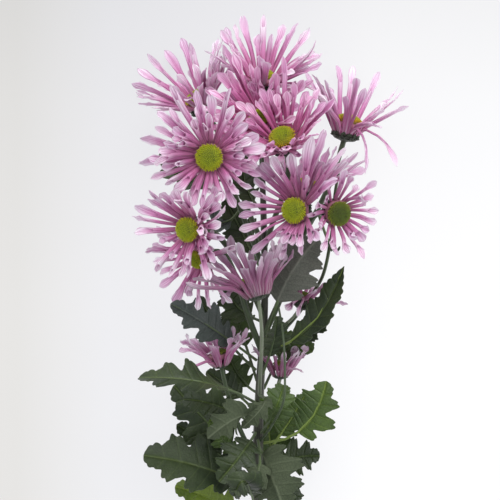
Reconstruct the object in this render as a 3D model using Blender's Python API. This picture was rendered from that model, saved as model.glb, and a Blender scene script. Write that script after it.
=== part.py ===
"""A cut spray of quilled chrysanthemum, lying on a flat surface.

The stem runs along +Y from its cut end to the flowers, and +Z is up from the surface. The tables place everything
in millimetres from a point on the surface under the stem. The finished spray is moved so that the origin lies on the
surface, under the middle of its box, and its meshes are in metres.
"""

import itertools
import math
import random
from collections import namedtuple

import bmesh
import bpy
import numpy as np

MM = 0.001
GAP = 0.3
SHARP_FROM = 40
FIXED = -1

# Stem
STEM_RADIUS = 3.0
STEM_SIDES = 8
STEM_REST = STEM_RADIUS * math.cos(math.pi / STEM_SIDES)
CUT_END = -12.0
MAIN_STEM = (
    (0.0, 50.0, STEM_REST, 3.0),
    (0.0, 105.0, 8.0, 2.9),
    (1.0, 150.0, 16.0, 2.3),
    (3.5, 195.0, 25.0, 1.8),
    (3.0, 240.0, 32.0, 1.6),
    (2.0, 266.0, 37.0, 1.4),
)
BRANCH_RADIUS = 1.3
BRANCH_SIDES = 6
BRANCH_STEPS = 4
BRANCH_START = 1.7
BRANCH_THINNER = 0.8
BRANCH_LEAN = 0.6
BRANCH_LEAN_FULL = 20
BRANCH_EASE = (0.38, 0.36)

# Flower head, at full size
RIM_RADIUS = 8.2
CORE_LOW = -2.6
CORE_HIGH = 0.9
CORE_SIDES = 14
# Each row of a head's profile is a radius, a height, and how far every second point stands out and up
CORE_PROFILE = ((6.6, CORE_LOW, 0, 0), (RIM_RADIUS, -0.8, 0, 0), (6.8, CORE_HIGH, 0, 0))
DISC_PROFILE = ((6.2, 0.0, 0, 0), (6.6, 1.0, 0.3, 0.1), (4.4, 3.5, -0.3, -0.3), (1.3, 4.3, 0, -0.2))
DISC_SIDES = 14
CUP_FOOT = -8.6
CUP_PROFILE = ((6.4, -2.0, 0.4, 0.5), (5.9, 0.0, 0, 0))
CUP_NECK = 1.5
CUP_SIDES = 10
HEAD_BALL = 8.8
VIEW_BALL = 5.5
VIEW_ALONG = (9, 15, 21)

# Ray floret
ROOT_RADIUS = 6.4
ROOT_HEIGHT = -0.8
ROOT_HALF = 0.5
ROOT_TOP = 0.4
BEND_AT = 0.36
NECK_AT = 0.70
SPOON_AT = 0.87
# Its half width at shares of its length: a narrow tube that opens into a spoon with a pointed tip
SHARES = (0, 0.45, NECK_AT, 0.79, SPOON_AT, 0.95, 1)
HALF_WIDTHS = (0.7, 1.15, 1.3, 2.0, 2.4, 1.6, 0.3)
# How far its upper side and its keel stand off its midline
TUBE_THICK = (0.8, 1.1)
SPOON_THICK = (0.35, 0.65)
TIP_RISE = 0.3
# Florets that curl more get one more ring
CURLED_FROM = 22
CLEAR = 0.5
FLOOR_CLEAR = 0.1
LOW_HALF = 1.2

Bloom = namedtuple("Bloom", "name seat facing reach lift count join spread size skew")
# seat is the middle of the head, facing the way it looks, reach the length of its ray florets, lift the angle of
# the outer ones above the head's plane and spread how much steeper the inner ones stand, join where its branch
# leaves the main stem, along Y, and size its head's share of the full size. skew is the side with longer florets,
# as an angle round the head, and by how much.
BLOOMS = (
    Bloom("a", (-23, 269, 78), (-0.10, -0.20, 0.97), 24, 14, 12, 214, 16, 0.95, (130, 0.2)),
    Bloom("b", (-33, 235, 72), (-0.45, -0.15, 0.88), 21, 24, 11, 190, 16, 0.88, (165, 0.1)),
    Bloom("d", (38, 243, 66), (0.40, -0.25, 0.88), 15, 28, 9, 180, 12, 0.9, (0, 0.0)),
    Bloom("c", (18, 244, 70), (-0.45, -0.05, 0.89), 23, 36, 10, 204, 12, 0.92, (125, 0.2)),
    Bloom("e", (12, 278, 66), (-0.25, 0.58, 0.78), 26, 38, 12, 226, 14, 0.95, (70, 0.1)),
    Bloom("k", (-2, 209, 70), (-0.28, 0.95, -0.14), 23, 38, 10, 148, 14, 1.0, (10, 0.2)),
    Bloom("g", (3, 311, 44), (0.08, 0.88, 0.46), 27, 42, 11, 236, 12, 1.0, (0, 0.0)),
    Bloom("h", (-30, 302, 24), (-0.50, 0.76, 0.38), 30, 44, 12, 226, 12, 1.0, (0, 0.0)),
    Bloom("i", (46, 289, 28), (0.22, 0.96, 0.06), 29, 50, 7, 200, 10, 1.0, (0, 0.0)),
    Bloom("j", (-30, 221, 46), (-0.60, -0.45, 0.66), 22, 22, 12, 172, 18, 0.9, (0, 0.0)),
    Bloom("o", (24, 256, 40), (0.15, 0.97, 0.10), 29, 40, 14, 208, 14, 0.9, (0, 0.0)),
    Bloom("f", (1, 289, 53), (-0.35, 0.38, 0.85), 24, 24, 17, 0, 20, 0.95, (0, 0.0)),
    Bloom("l", (-20, 171, 29), (-0.20, 0.96, 0.10), 18, 40, 7, 112, 14, 0.8, (0, 0.0)),
    Bloom("m", (12, 164, 18), (0.05, 0.99, -0.08), 15, 42, 6, 140, 12, 0.75, (0, 0.0)),
    Bloom("n", (24, 200, 22), (0.40, 0.88, -0.05), 18, 34, 8, 176, 14, 0.75, (0, 0.0)),
)
# Heads that look at the viewer, which no other head's florets cross
OPEN_HEADS = "abcd"
# Florets whose tips the photograph shows, for each head: azimuth, lift, curl and reach
AIMED = {
    "a": (
        (162, 17, -8, 26.5), (146, 38, -22, 24), (136, 23, -8, 25.5), (170, 26, -8, 19), (190, 23, 2, 16.5),
        (212, 26, 2, 17.5), (248, 17, 2, 17.5), (270, 20, 2, 10), (286, 23, 2, 15), (308, 32, -22, 15.5),
        (12, 38, -22, 23.5), (70, 23, 2, 30), (114, 32, -22, 33.5), (96, 29, 2, 27.5), (50, 26, -14, 22),
    ),
    "b": (
        (106, 47, -22, 20), (134, 29, 8, 18.5), (150, 41, -22, 22), (180, 29, 2, 20.5), (202, 35, -8, 10),
        (94, 44, -14, 15.5), (36, 23, 2, 25), (64, 47, -14, 21.5),
    ),
    "d": (
        (84, 32, -8, 15), (50, 35, -14, 18), (56, 38, 2, 13), (34, 32, 8, 13), (10, 41, -14, 14),
        (352, 26, 8, 13.5), (334, 32, 8, 12), (302, 32, 8, 19.5), (286, 35, 2, 13.5), (256, 47, -22, 12.5),
        (302, 38, 2, 11.5), (102, 44, -22, 21),
    ),
    "c": (
        (62, 38, -8, 36.5), (60, 38, -14, 37.5), (80, 44, -8, 25.5), (42, 20, 8, 37), (28, 41, -14, 27.5),
        (114, 35, 8, 23.5), (138, 41, 2, 19), (154, 53, -22, 18), (170, 47, -8, 22.5), (182, 50, -22, 22),
        (216, 62, -50, 23.5), (298, 62, -22, 19.5), (274, 47, 8, 13.5), (240, 44, 2, 9),
        (322, 50, -8, 21.5),
    ),
    "e": (
        (88, 53, -8, 35), (74, 47, 8, 23.5), (64, 56, -22, 20), (14, 59, 8, 27), (16, 41, 8, 29),
        (108, 50, -14, 20.5), (14, 59, -22, 26.5), (352, 50, 8, 24), (130, 44, -8, 18),
        (322, 62, -22, 23.5),
    ),
    "k": (
        (14, 32, 8, 20), (322, 47, -8, 25.5), (306, 65, -22, 28.5), (288, 62, -8, 30.5), (86, 50, 2, 24.5),
        (106, 32, -14, 18.5), (228, 53, -8, 24), (240, 26, -22, 21), (300, 17, -40, 29),
        (264, 56, -8, 23.5), (118, 35, -8, 19),
    ),
    "g": (
        (132, 41, 2, 27.5), (118, 41, 8, 28), (110, 56, -22, 31), (86, 62, -22, 31), (62, 62, -22, 27.5),
        (54, 41, 2, 33), (22, 62, -22, 29), (314, 47, 8, 34.5), (312, 44, 2, 31), (310, 32, -50, 35),
    ),
    "h": (
        (128, 59, -14, 34), (150, 47, 2, 34.5), (170, 56, 8, 35.5), (190, 62, -14, 34), (274, 68, -22, 38),
        (278, 56, -14, 35), (292, 32, 8, 34), (68, 59, -14, 25.5),
    ),
    "i": (
        (294, 65, -8, 37.5), (276, 65, -14, 39), (86, 59, -22, 31.5), (244, 59, 8, 36.5), (206, 59, -8, 31),
        (156, 38, 2, 27), (96, 41, -8, 28.5), (110, 11, -22, 32.5), (52, 47, -8, 27), (60, 17, 8, 28.5),
        (296, 53, -22, 27.5), (106, -4, -75, 43), (128, -1, -60, 39.5),
    ),
    "j": (
        (152, 38, -22, 18.5), (176, 32, -14, 19), (192, 35, -22, 19.5), (206, 32, -8, 21.5),
        (228, 41, -22, 23), (250, 29, -8, 14.5), (236, 38, -14, 18.5), (328, 47, 2, 20),
    ),
    "f": (
        (118, 44, -8, 35.5), (114, 47, -22, 30), (98, 26, 2, 22.5), (116, 32, 8, 16.5), (322, 71, 8, 28),
        (144, 32, -8, 16), (70, 41, -22, 18),
    ),
    "l": (
        (48, 38, -14, 22.5), (316, 41, 2, 16), (302, 44, -8, 16.5), (54, 14, -14, 27), (88, 38, -8, 20),
        (182, 53, -22, 15.5), (112, 50, -22, 21), (124, 44, -22, 18), (292, 38, -8, 14.5),
    ),
    "m": (
        (36, 11, -22, 17), (46, 2, -22, 17), (114, 47, -14, 14.5), (116, 2, -8, 16), (94, 44, -8, 14.5),
        (288, 38, 8, 12),
    ),
    "n": (
        (74, -10, -40, 24.5), (96, 5, -8, 15.5), (270, 56, -14, 18.5), (86, -4, -40, 23.5),
        (68, 32, 2, 17.5),
    ),
}
TERMINAL = "f"
# Florets between those: how much they scatter, in degrees and in shares of their length
AIMED_HEIGHT = -0.5
HEIGHTS = (-1.1, 0.2)
AZIMUTH_SCATTER = 5
LIFT_SCATTER = 6
CURLS = (-26, 10)
INNER_CURL = -6
SWAY_SCATTER = 10
TWIST_SCATTER = 28
INNER_SHORTER = 0.08
LENGTHS = (0.88, 1.08)

# How far a floret may lean to clear what is laid before it: lift, sway and curl in degrees, least first
LEANS = sorted(
    itertools.product((0, 10, -10, 20, -20, 32), (0, 9, -9, 18, -18), (0, 22, -22)),
    key=lambda lean: abs(lean[0]) + abs(lean[1]) + 0.6 * abs(lean[2]),
)
REACHES = (1.0, 0.86, 0.7)
STEEPEST = 64.0
STEEPEST_TIP = 76.0

Leaf = namedtuple("Leaf", "name at elbow tip face half_width stalk")
# at is where the stalk leaves the main stem, along Y, or a branch's name and the share of its length. elbow draws
# the midrib, tip ends it, face is the way the upper side looks, and stalk is the bare share of the length.
LEAVES = (
    Leaf("01", 138, (-9, 142, 44), (-25, 131, 44), (0.2, 0.3, -0.93), 11, 0.24),
    Leaf("02", 170, (12, 205, 50), (30, 231, 47), (0.2, 0.1, -0.97), 15, 0.4),
    Leaf("03", 130, (-9, 120, 30), (-20, 107, 32), (0.0, 0.2, 0.98), 12, 0.2),
    Leaf("04", 122, (6, 113, 30), (13, 94, 34), (0.2, 0.3, -0.93), 18, 0.2),
    Leaf("05", 146, (-26, 160, 56), (-59, 162, 52), (-0.1, 0.85, 0.52), 13, 0.3),
    Leaf("06", 174, (27, 187, 36), (43, 217, 42), (-0.45, 0.35, 0.82), 9.5, 0.24),
    Leaf("07", 168, (-24, 186, 36), (-44, 198, 40), (-0.5, 0.6, 0.62), 12, 0.26),
    Leaf("08", 134, (-20, 146, 36), (-38, 149, 33), (0.0, 0.3, 0.95), 9, 0.3),
    Leaf("09", 124, (24, 134, 26), (35, 158, 30), (-0.3, 0.3, 0.90), 15, 0.42),
    Leaf("10", 96, (-24, 111, 22), (-59, 119, 24), (0.0, 0.55, 0.83), 17, 0.26),
    Leaf("11", 246, (-6, 258, 24), (-8, 277, 22), (0.0, 0.0, 1.0), 9, 0.2),
    Leaf("12", 214, (-9, 236, 16), (-17, 252, 18), (0.0, 0.0, 1.0), 10, 0.2),
    Leaf("13", ("h", 0.5), (-38, 262, 30), (-49, 275, 32), (-0.2, 0.2, 0.96), 8, 0.2),
    Leaf("14", 188, (-10, 195, 15), (-17, 206, 16), (0.0, 0.2, 0.98), 11, 0.2),
    Leaf("15", 112, (-15, 123, 19), (-25, 137, 20), (0.0, 0.1, 0.99), 7, 0.36),
    Leaf("16", 116, (16, 134, 13), (25, 149, 13), (0.0, 0.1, 0.99), 10, 0.3),
    Leaf("17", 98, (7, 116, 3.2), (4, 138, 4), (0.0, 0.0, 1.0), 12, 0.3),
    Leaf("18", 112, (-24, 132, 12), (-44, 154, 13), (-0.2, 0.3, 0.93), 14, 0.24),
    Leaf("19", 108, (18, 115, 10), (33, 116, 8), (0.0, 0.3, 0.95), 11, 0.24),
    Leaf("20", 152, (16, 172, 6), (29, 171, 8), (0.0, 0.3, 0.95), 10, 0.3),
    Leaf("21", 82, (-22, 92, 6), (-44, 99, 3), (0.0, 0.3, 0.95), 13, 0.24),
    Leaf("22", 74, (12, 89, 9), (21, 104, 5), (0.1, 0.1, 0.98), 10, 0.24),
    Leaf("23", 150, (-9, 157, 4), (-17, 172, 4), (0.3, 0.1, 0.95), 10, 0.25),
    Leaf("24", 130, (9, 144, 32), (13, 156, 28), (0.1, 0.3, 0.94), 10, 0.25),
    Leaf("25", 104, (-31, 124, 4), (-43, 132, 4), (-0.2, 0.2, 0.96), 11, 0.25),
    Leaf("26", 84, (-6, 109, 44), (-12, 101, 41), (-0.2, 0.3, 0.93), 9, 0.25),
    Leaf("27", 156, (-11, 187, 4), (-19, 198, 4), (0.1, 0.5, 0.86), 10, 0.25),
    Leaf("28", 161, (8, 179, 37), (9, 192, 52), (0.3, 0.2, 0.93), 8, 0.25),
)
LEAF_THICK = 0.84
LEAF_BALL = 1.0
LEAF_WAVE = 0.9
LEAF_WAVES = (9, 2.2)
STALK_GAP = 0.75
LEAF_FOLD = 0.22
# Half of a leaf's outline: the share of the blade's length, the share of its half width, and the midrib point that
# the outline fans out from there
LEAF_OUTLINE = (
    (0.04, 0.26, 2),
    (0.04, 0.60, 2),
    (0.13, 0.80, 2),
    (0.24, 0.70, 2),
    (0.27, 0.46, 2),
    (0.34, 0.72, 3),
    (0.42, 1.00, 3),
    (0.53, 0.94, 3),
    (0.58, 0.74, 3),
    (0.59, 0.50, 3),
    (0.68, 0.70, 4),
    (0.78, 0.64, 4),
    (0.87, 0.44, 4),
    (0.94, 0.27, 4),
)
MIDRIB = (0.24, 0.50, 0.76)
STALK_HALF = 1.1
STALK_FOOT = 0.5

MATERIALS = {
    "stem_green": ((0.13, 0.20, 0.09), 0.6),
    "leaf_green": ((0.07, 0.14, 0.04), 0.55),
    "petal_pink": ((0.62, 0.24, 0.45), 0.5),
    "disc_green": ((0.45, 0.50, 0.04), 0.6),
}


def unit(vector):
    """The vector at length 1."""
    vector = np.asarray(vector, float)
    return vector / np.linalg.norm(vector)


def clear_scene():
    """Removes every object of the scene."""
    for obj in list(bpy.data.objects):
        bpy.data.objects.remove(obj)


def material(name):
    """The named material, made once."""
    found = bpy.data.materials.get(name)
    if found:
        return found
    colour, roughness = MATERIALS[name]
    made = bpy.data.materials.new(name)
    made.use_nodes = True
    shader = made.node_tree.nodes["Principled BSDF"]
    shader.inputs["Base Color"].default_value = (*colour, 1.0)
    shader.inputs["Roughness"].default_value = roughness
    shader.inputs["Metallic"].default_value = 0.0
    made.diffuse_color = (*colour, 1.0)
    return made


def solid(name, points, faces, material_name, collection=None):
    """A closed mesh object from points in millimetres, with its faces turned outwards."""
    mesh = bpy.data.meshes.new(name)
    mesh.from_pydata([tuple(np.asarray(p) * MM) for p in points], [], faces)
    shape = bmesh.new()
    shape.from_mesh(mesh)
    bmesh.ops.recalc_face_normals(shape, faces=shape.faces)
    shape.to_mesh(mesh)
    shape.free()
    mesh.materials.append(material(material_name))
    mesh.shade_smooth()
    mesh.set_sharp_from_angle(angle=math.radians(SHARP_FROM))
    obj = bpy.data.objects.new(name, mesh)
    (collection or bpy.context.scene.collection).objects.link(obj)
    return obj


def fuse(body, pieces):
    """Joins the pieces, a collection, to the body in one Boolean union, and removes them."""
    join = body.modifiers.new("join", "BOOLEAN")
    join.operation = "UNION"
    join.operand_type = "COLLECTION"
    join.collection = pieces
    join.solver = "EXACT"
    with bpy.context.temp_override(object=body):
        bpy.ops.object.modifier_apply(modifier=join.name)
    for piece in list(pieces.objects):
        bpy.data.objects.remove(piece)
    bpy.data.collections.remove(pieces)
    return body


def parts_box(name):
    """A new collection for the pieces of one Boolean union."""
    box = bpy.data.collections.new(name)
    bpy.context.scene.collection.children.link(box)
    return box


def smooth(points, steps):
    """Points along a smooth curve through the given ones, with their radii or any other columns."""
    points = np.asarray(points, float)
    slopes = np.gradient(points, axis=0)
    rows = []
    for i in range(len(points) - 1):
        for t in np.arange(steps) / steps:
            h = (2 * t**3 - 3 * t**2 + 1, t**3 - 2 * t**2 + t, 3 * t**2 - 2 * t**3, t**3 - t**2)
            rows.append(h[0] * points[i] + h[1] * slopes[i] + h[2] * points[i + 1] + h[3] * slopes[i + 1])
    return np.array([*rows, points[-1]])


def rings_of(points, radii, sides, up=(0, 0, 1)):
    """Rings of points round a path, each square to it, turning with it as little as they can."""
    points = np.asarray(points, float)
    along = np.gradient(points, axis=0)
    side = unit(np.cross(along[0], up))
    rings = []
    for point, way, radius in zip(points, along, radii, strict=True):
        way = unit(way)
        side = unit(side - way * (side @ way))
        over = np.cross(side, way)
        turns = 2 * math.pi * (np.arange(sides) + 0.5) / sides
        rings.append(point + radius * (np.outer(np.sin(turns), side) - np.outer(np.cos(turns), over)))
    return rings


def skin(rings):
    """Points and faces of a closed solid over rings of equal count."""
    sides = len(rings[0])
    faces = [tuple(range(sides)), tuple(range((len(rings) - 1) * sides, len(rings) * sides))]
    for row in range(len(rings) - 1):
        for i in range(sides):
            j = (i + 1) % sides
            low, high = row * sides, (row + 1) * sides
            faces.append((low + i, low + j, high + j, high + i))
    return np.concatenate(rings), faces


def main_path():
    """The main stem's middle line and radii, from the cut end to the tip."""
    return np.vstack([(0.0, CUT_END, STEM_REST, STEM_RADIUS), smooth(MAIN_STEM, 3)])


def on_main(y):
    """The main stem's point, direction and radius where it passes Y."""
    path = main_path()
    row = np.array([np.interp(y, path[:, 1], path[:, k]) for k in range(4)])
    step = np.array([np.interp(y + 2, path[:, 1], path[:, k]) for k in range(3)])
    return row[:3], unit(step - row[:3]), row[3]


def head_axes(bloom):
    """Two directions across a head and the way it faces."""
    facing = unit(bloom.facing)
    across = unit(np.cross((0, 1, 0), facing)) if abs(facing[1]) < 0.9 else unit(np.cross((0, 0, 1), facing))
    return across, np.cross(facing, across), facing


def branch_path(bloom):
    """The middle line and radii of the branch that carries a head, from the main stem to the cup's foot."""
    facing = unit(bloom.facing)
    foot = np.array(bloom.seat, float) + facing * (CUP_FOOT * bloom.size + 1.0)
    if bloom.name == TERMINAL:
        start, way, radius = on_main(MAIN_STEM[-1][1] - 1.0)
    else:
        start, way, radius = on_main(bloom.join)
    length = np.linalg.norm(foot - start)
    aside = foot - start - way * ((foot - start) @ way)
    leave = unit(way + BRANCH_LEAN * min(1.0, np.linalg.norm(aside) / BRANCH_LEAN_FULL) * unit(aside))
    corners = (start, start + leave * length * BRANCH_EASE[0], foot - facing * length * BRANCH_EASE[1], foot)
    t = np.linspace(0, 1, BRANCH_STEPS + 1)[:, None]
    weights = ((1 - t) ** 3, 3 * t * (1 - t) ** 2, 3 * t**2 * (1 - t), t**3)
    points = sum(w * np.asarray(c, float) for w, c in zip(weights, corners, strict=True))
    return points, np.linspace(min(radius * BRANCH_THINNER, BRANCH_START), BRANCH_RADIUS, BRANCH_STEPS + 1)


class Room:
    """What is laid so far, as balls: where clearance is read."""

    def __init__(self):
        self.centres = np.zeros((0, 3))
        self.radii = np.zeros(0)
        self.owners = np.zeros(0, int)

    def lay(self, centres, radii, owner):
        """Adds balls that belong to an owner's number."""
        centres = np.atleast_2d(centres)
        self.centres = np.vstack([self.centres, centres])
        self.radii = np.concatenate([self.radii, np.broadcast_to(radii, len(centres))])
        self.owners = np.concatenate([self.owners, np.full(len(centres), owner)])

    def near(self, centre, radius, passing=()):
        """The balls that come within a radius of a point, other than what the passing owners laid."""
        span = np.linalg.norm(self.centres - centre, axis=1)
        kept = (span < radius + self.radii + CLEAR) & ~np.isin(self.owners, passing)
        return self.centres[kept], self.radii[kept]


def touches(centres, radii, laid):
    """For each row of balls, how many come too near to the laid ones or to the floor."""
    laid_centres, laid_radii = laid
    low = np.sum(centres[..., 2] - np.minimum(radii, LOW_HALF) < FLOOR_CLEAR, axis=1)
    square = np.sum(centres**2, axis=2)[..., None] + np.sum(laid_centres**2, axis=1) - 2 * centres @ laid_centres.T
    near = square < (radii[..., None] + laid_radii + CLEAR) ** 2
    return low + np.sum(near.any(axis=2), axis=1)


def along_tube(points, radii, step=1.5):
    """Points and radii at close steps along a path."""
    lengths = np.concatenate([[0], np.cumsum(np.linalg.norm(np.diff(points, axis=0), axis=1))])
    at = np.linspace(0, lengths[-1], max(2, int(lengths[-1] / step)))
    dense = np.stack([np.interp(at, lengths, points[:, k]) for k in range(3)], axis=1)
    return dense, np.interp(at, lengths, radii)


def petal_lines(bloom, shapes, rows):
    """The midlines of ray florets from the head's rim to their tips, a row of points for each shape, with the
    side and upper directions there. A shape is an azimuth, lift, curl, sway, twist, reach and height at the rim."""
    across, over, facing = head_axes(bloom)
    azimuth, lift, curl, sway, twist, reach, height = np.atleast_2d(shapes).T[:, :, None]
    fine = np.linspace(0, 1, 41)
    turn = np.radians(azimuth + sway * fine**1.5)[..., None]
    rise = np.radians(lift + curl * fine**1.4)[..., None]
    out = np.cos(turn) * across + np.sin(turn) * over
    way = np.cos(rise) * out + np.sin(rise) * facing
    start = np.array(bloom.seat, float) + bloom.size * RIM_RADIUS * out[:, 0] + height * facing
    steps = (way[:, 1:] + way[:, :-1]) / 2 * reach[..., None] / 40
    line = start[:, None] + np.concatenate([np.zeros_like(way[:, :1]), np.cumsum(steps, axis=1)], axis=1)
    at = np.clip(np.asarray(rows, float), 0, 1) * 40
    low = np.minimum(at.astype(int), 39)
    part = (at - low)[:, None]
    points, ways, outs = (v[:, low] * (1 - part) + v[:, low + 1] * part for v in (line, way, out))
    sides = np.cross(facing, outs)
    ups = np.cross(ways, sides)
    roll = np.radians(twist * np.clip(rows, 0, 1))[..., None]
    return points, sides * np.cos(roll) + ups * np.sin(roll), ups * np.cos(roll) - sides * np.sin(roll)


def half_width(share):
    """A ray floret's half width at a share of its length."""
    return np.interp(share, SHARES, HALF_WIDTHS)


def aimed_shapes(bloom):
    """The shape of each ray floret of a head that is set by itself."""
    dice = random.Random(f"aimed {bloom.name}")
    return [
        (azimuth, lift, curl, 0.0, dice.uniform(-TWIST_SCATTER, TWIST_SCATTER), reach, AIMED_HEIGHT * bloom.size)
        for azimuth, lift, curl, reach in AIMED.get(bloom.name, ())
    ]


def widest_gaps(taken, count):
    """Angles that fill a round of taken ones, each in the middle of the widest gap that is left."""
    angles = sorted(taken) or [0.0]
    for _ in range(count):
        width, start = max((b - a, a) for a, b in zip(angles, [*angles[1:], angles[0] + 360], strict=True))
        angles = sorted([*angles, start + width / 2])
        yield start + width / 2


def natural_shapes(bloom):
    """The shape that each other ray floret of a head would grow to with nothing in its way, between the set ones."""
    dice = random.Random(f"florets {bloom.name}")
    shapes = []
    for k, middle in enumerate(widest_gaps([row[0] for row in AIMED.get(bloom.name, ())], bloom.count)):
        inner = k % 2
        azimuth = middle + dice.uniform(-AZIMUTH_SCATTER, AZIMUTH_SCATTER)
        longer = 1 + bloom.skew[1] * math.cos(math.radians(azimuth - bloom.skew[0]))
        shapes.append((
            azimuth,
            bloom.lift + inner * bloom.spread + dice.uniform(-LIFT_SCATTER, LIFT_SCATTER),
            dice.uniform(*CURLS) + inner * INNER_CURL,
            dice.uniform(-SWAY_SCATTER, SWAY_SCATTER),
            dice.uniform(-TWIST_SCATTER, TWIST_SCATTER),
            bloom.reach * (1 - INNER_SHORTER * inner) * longer * dice.uniform(*LENGTHS),
            bloom.size * HEIGHTS[inner],
        ))
    return shapes


def lay_petals(bloom, shapes, number, room):
    """Lays ray florets of a head, each at the first lean at which it clears what is laid, or not at all."""
    laid = []
    rows = np.linspace(0.12, 1, 16)
    widths = half_width(rows)
    leans = np.array([(lift, curl, sway, share) for share in REACHES for lift, sway, curl in LEANS])
    for shape in shapes:
        trials = np.repeat(np.array(shape)[None], len(leans), axis=0)
        trials[:, 1:4] += leans[:, :3]
        trials[:, 5] *= leans[:, 3]
        trials[:, 1] = np.minimum(trials[:, 1], STEEPEST)
        trials[:, 2] = np.minimum(trials[:, 2], STEEPEST_TIP - trials[:, 1])
        points = petal_lines(bloom, trials, rows)[0]
        start = points[0, 0]
        others = touches(points, widths[None], room.near(start, shape[5], (number,))) == 0
        own = touches(points[:, 5:], widths[None, 5:], room.near(start, shape[5])) == 0
        for free in (others & own, others):
            if free.any():
                chosen = trials[np.argmax(free)]
                room.lay(petal_lines(bloom, chosen, rows)[0][0], widths, number)
                laid.append(chosen)
                break
    return laid


def petal_solid(bloom, shape, collection):
    """One ray floret: a three-sided tube with its root in the head, which opens into a spoon."""
    across, over, facing = head_axes(bloom)
    turn = math.radians(shape[0])
    out = math.cos(turn) * across + math.sin(turn) * over
    rows = [BEND_AT, NECK_AT, SPOON_AT] if abs(shape[2]) > CURLED_FROM else [NECK_AT, SPOON_AT]
    points, sides, ups = (v[0] for v in petal_lines(bloom, shape, [*rows, 1.0]))
    root = np.array(bloom.seat, float) + bloom.size * (ROOT_RADIUS * out + ROOT_HEIGHT * facing) + shape[6] / 2 * facing
    side = np.cross(facing, out)
    high = root + ROOT_TOP * facing
    corners = [high - ROOT_HALF * side, high + ROOT_HALF * side, root - ROOT_HALF * facing]
    for row, point, side, up in zip(rows, points, sides, ups, strict=False):
        half = half_width(row)
        top, keel = SPOON_THICK if row == SPOON_AT else TUBE_THICK
        corners += [point - half * side + top * up, point + half * side + top * up, point - keel * up]
    corners.append(points[-1] + TIP_RISE * ups[-1])
    faces = [(0, 1, 2)]
    for row in range(len(rows)):
        for i in range(3):
            j = (i + 1) % 3
            faces.append((3 * row + i, 3 * row + j, 3 * row + 3 + j, 3 * row + 3 + i))
    last = 3 * len(rows) + 3
    faces += [(last - 3 + i, last - 3 + (i + 1) % 3, last) for i in range(3)]
    return solid("floret", corners, faces, "petal_pink", collection)


def turned(bloom, profile, sides, name, material_name, collection=None):
    """A solid turned about a head's axis from the rows of its profile."""
    across, over, facing = head_axes(bloom)
    turns = 2 * math.pi * np.arange(sides) / sides
    sign = np.where(np.arange(sides) % 2, 1.0, -1.0)
    ring = np.outer(np.cos(turns), across) + np.outer(np.sin(turns), over)
    rings = []
    for radius, height, out, up in profile:
        rise = np.outer(height + sign * up, facing)
        rings.append(np.array(bloom.seat, float) + bloom.size * ((radius + sign * out)[:, None] * ring + rise))
    points, faces = skin(rings)
    return solid(name, points, faces, material_name, collection)


def bloom_rays(bloom, shapes):
    """The pink part of a head: its ray florets and the receptacle that they are rooted in."""
    core = turned(bloom, CORE_PROFILE, CORE_SIDES, f"bloom_{bloom.name}_rays", "petal_pink")
    florets = parts_box("florets")
    for shape in shapes:
        petal_solid(bloom, shape, florets)
    return fuse(core, florets)


def bloom_disc(bloom):
    """The dome of small disc florets, as relief."""
    low = CORE_HIGH + GAP / bloom.size
    profile = [(radius, low + rise, out, up) for radius, rise, out, up in DISC_PROFILE]
    return turned(bloom, profile, DISC_SIDES, f"bloom_{bloom.name}_disc", "disc_green")


def stem():
    """The green body: main stem, branches, and the cup of bracts under each head."""
    path = main_path()
    points, faces = skin(rings_of(path[:, :3], path[:, 3], STEM_SIDES))
    body = solid("stem", points, faces, "stem_green")
    pieces = parts_box("branches")
    for bloom in BLOOMS:
        top = CORE_LOW - GAP / bloom.size
        cup = [(CUP_NECK, CUP_FOOT, 0, 0), *((radius, top + rise, out, up) for radius, rise, out, up in CUP_PROFILE)]
        line, radii = branch_path(bloom)
        points, faces = skin(rings_of(line, radii, BRANCH_SIDES))
        solid("branch", points, faces, "stem_green", pieces)
        turned(bloom, cup, CUP_SIDES, "cup", "stem_green", pieces)
    return fuse(body, pieces)


def leaf_start(leaf):
    """Where a leaf's stalk starts, just clear of the stem that carries it."""
    if isinstance(leaf.at, tuple):
        name, share = leaf.at
        line, radii = branch_path(next(b for b in BLOOMS if b.name == name))
        k = share * (len(line) - 1)
        point = np.array([np.interp(k, range(len(line)), line[:, i]) for i in range(3)])
        way, radius = unit(line[min(int(k) + 1, len(line) - 1)] - line[int(k)]), np.interp(k, range(len(line)), radii)
    else:
        point, way, radius = on_main(leaf.at)
    out = np.array(leaf.elbow, float) - point
    return point + unit(out - way * (out @ way)) * (radius + STALK_GAP)


def leaf_points(leaf, share, across):
    """Points of a leaf's blade: shares along the midrib and signed shares of the half width across it."""
    start = leaf_start(leaf)
    elbow, tip = np.array(leaf.elbow, float), np.array(leaf.tip, float)
    middle = 2 * elbow - (start + tip) / 2
    share, across = np.asarray(share, float)[:, None], np.asarray(across, float)[:, None]
    points = (1 - share) ** 2 * start + 2 * share * (1 - share) * middle + share**2 * tip
    ways = (1 - share) * (middle - start) + share * (tip - middle)
    sides = np.cross(ways, leaf.face)
    sides /= np.linalg.norm(sides, axis=1)[:, None]
    ups = np.cross(sides, ways / np.linalg.norm(ways, axis=1)[:, None])
    out = across * leaf.half_width
    wave = LEAF_WAVE * np.sin(LEAF_WAVES[0] * share + LEAF_WAVES[1] * across) * np.abs(across)
    return points + out * sides + (LEAF_FOLD * np.abs(out) + wave) * ups


def leaf_outline(leaf):
    """Half of a leaf's outline from the stem end, as shares of its whole length and half width, with fan points."""
    blade = [(leaf.stalk + t * (1 - leaf.stalk), w, k) for t, w, k in LEAF_OUTLINE]
    return [(0.0, STALK_FOOT / leaf.half_width, 0), (leaf.stalk, STALK_HALF / leaf.half_width, 1), *blade]


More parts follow.
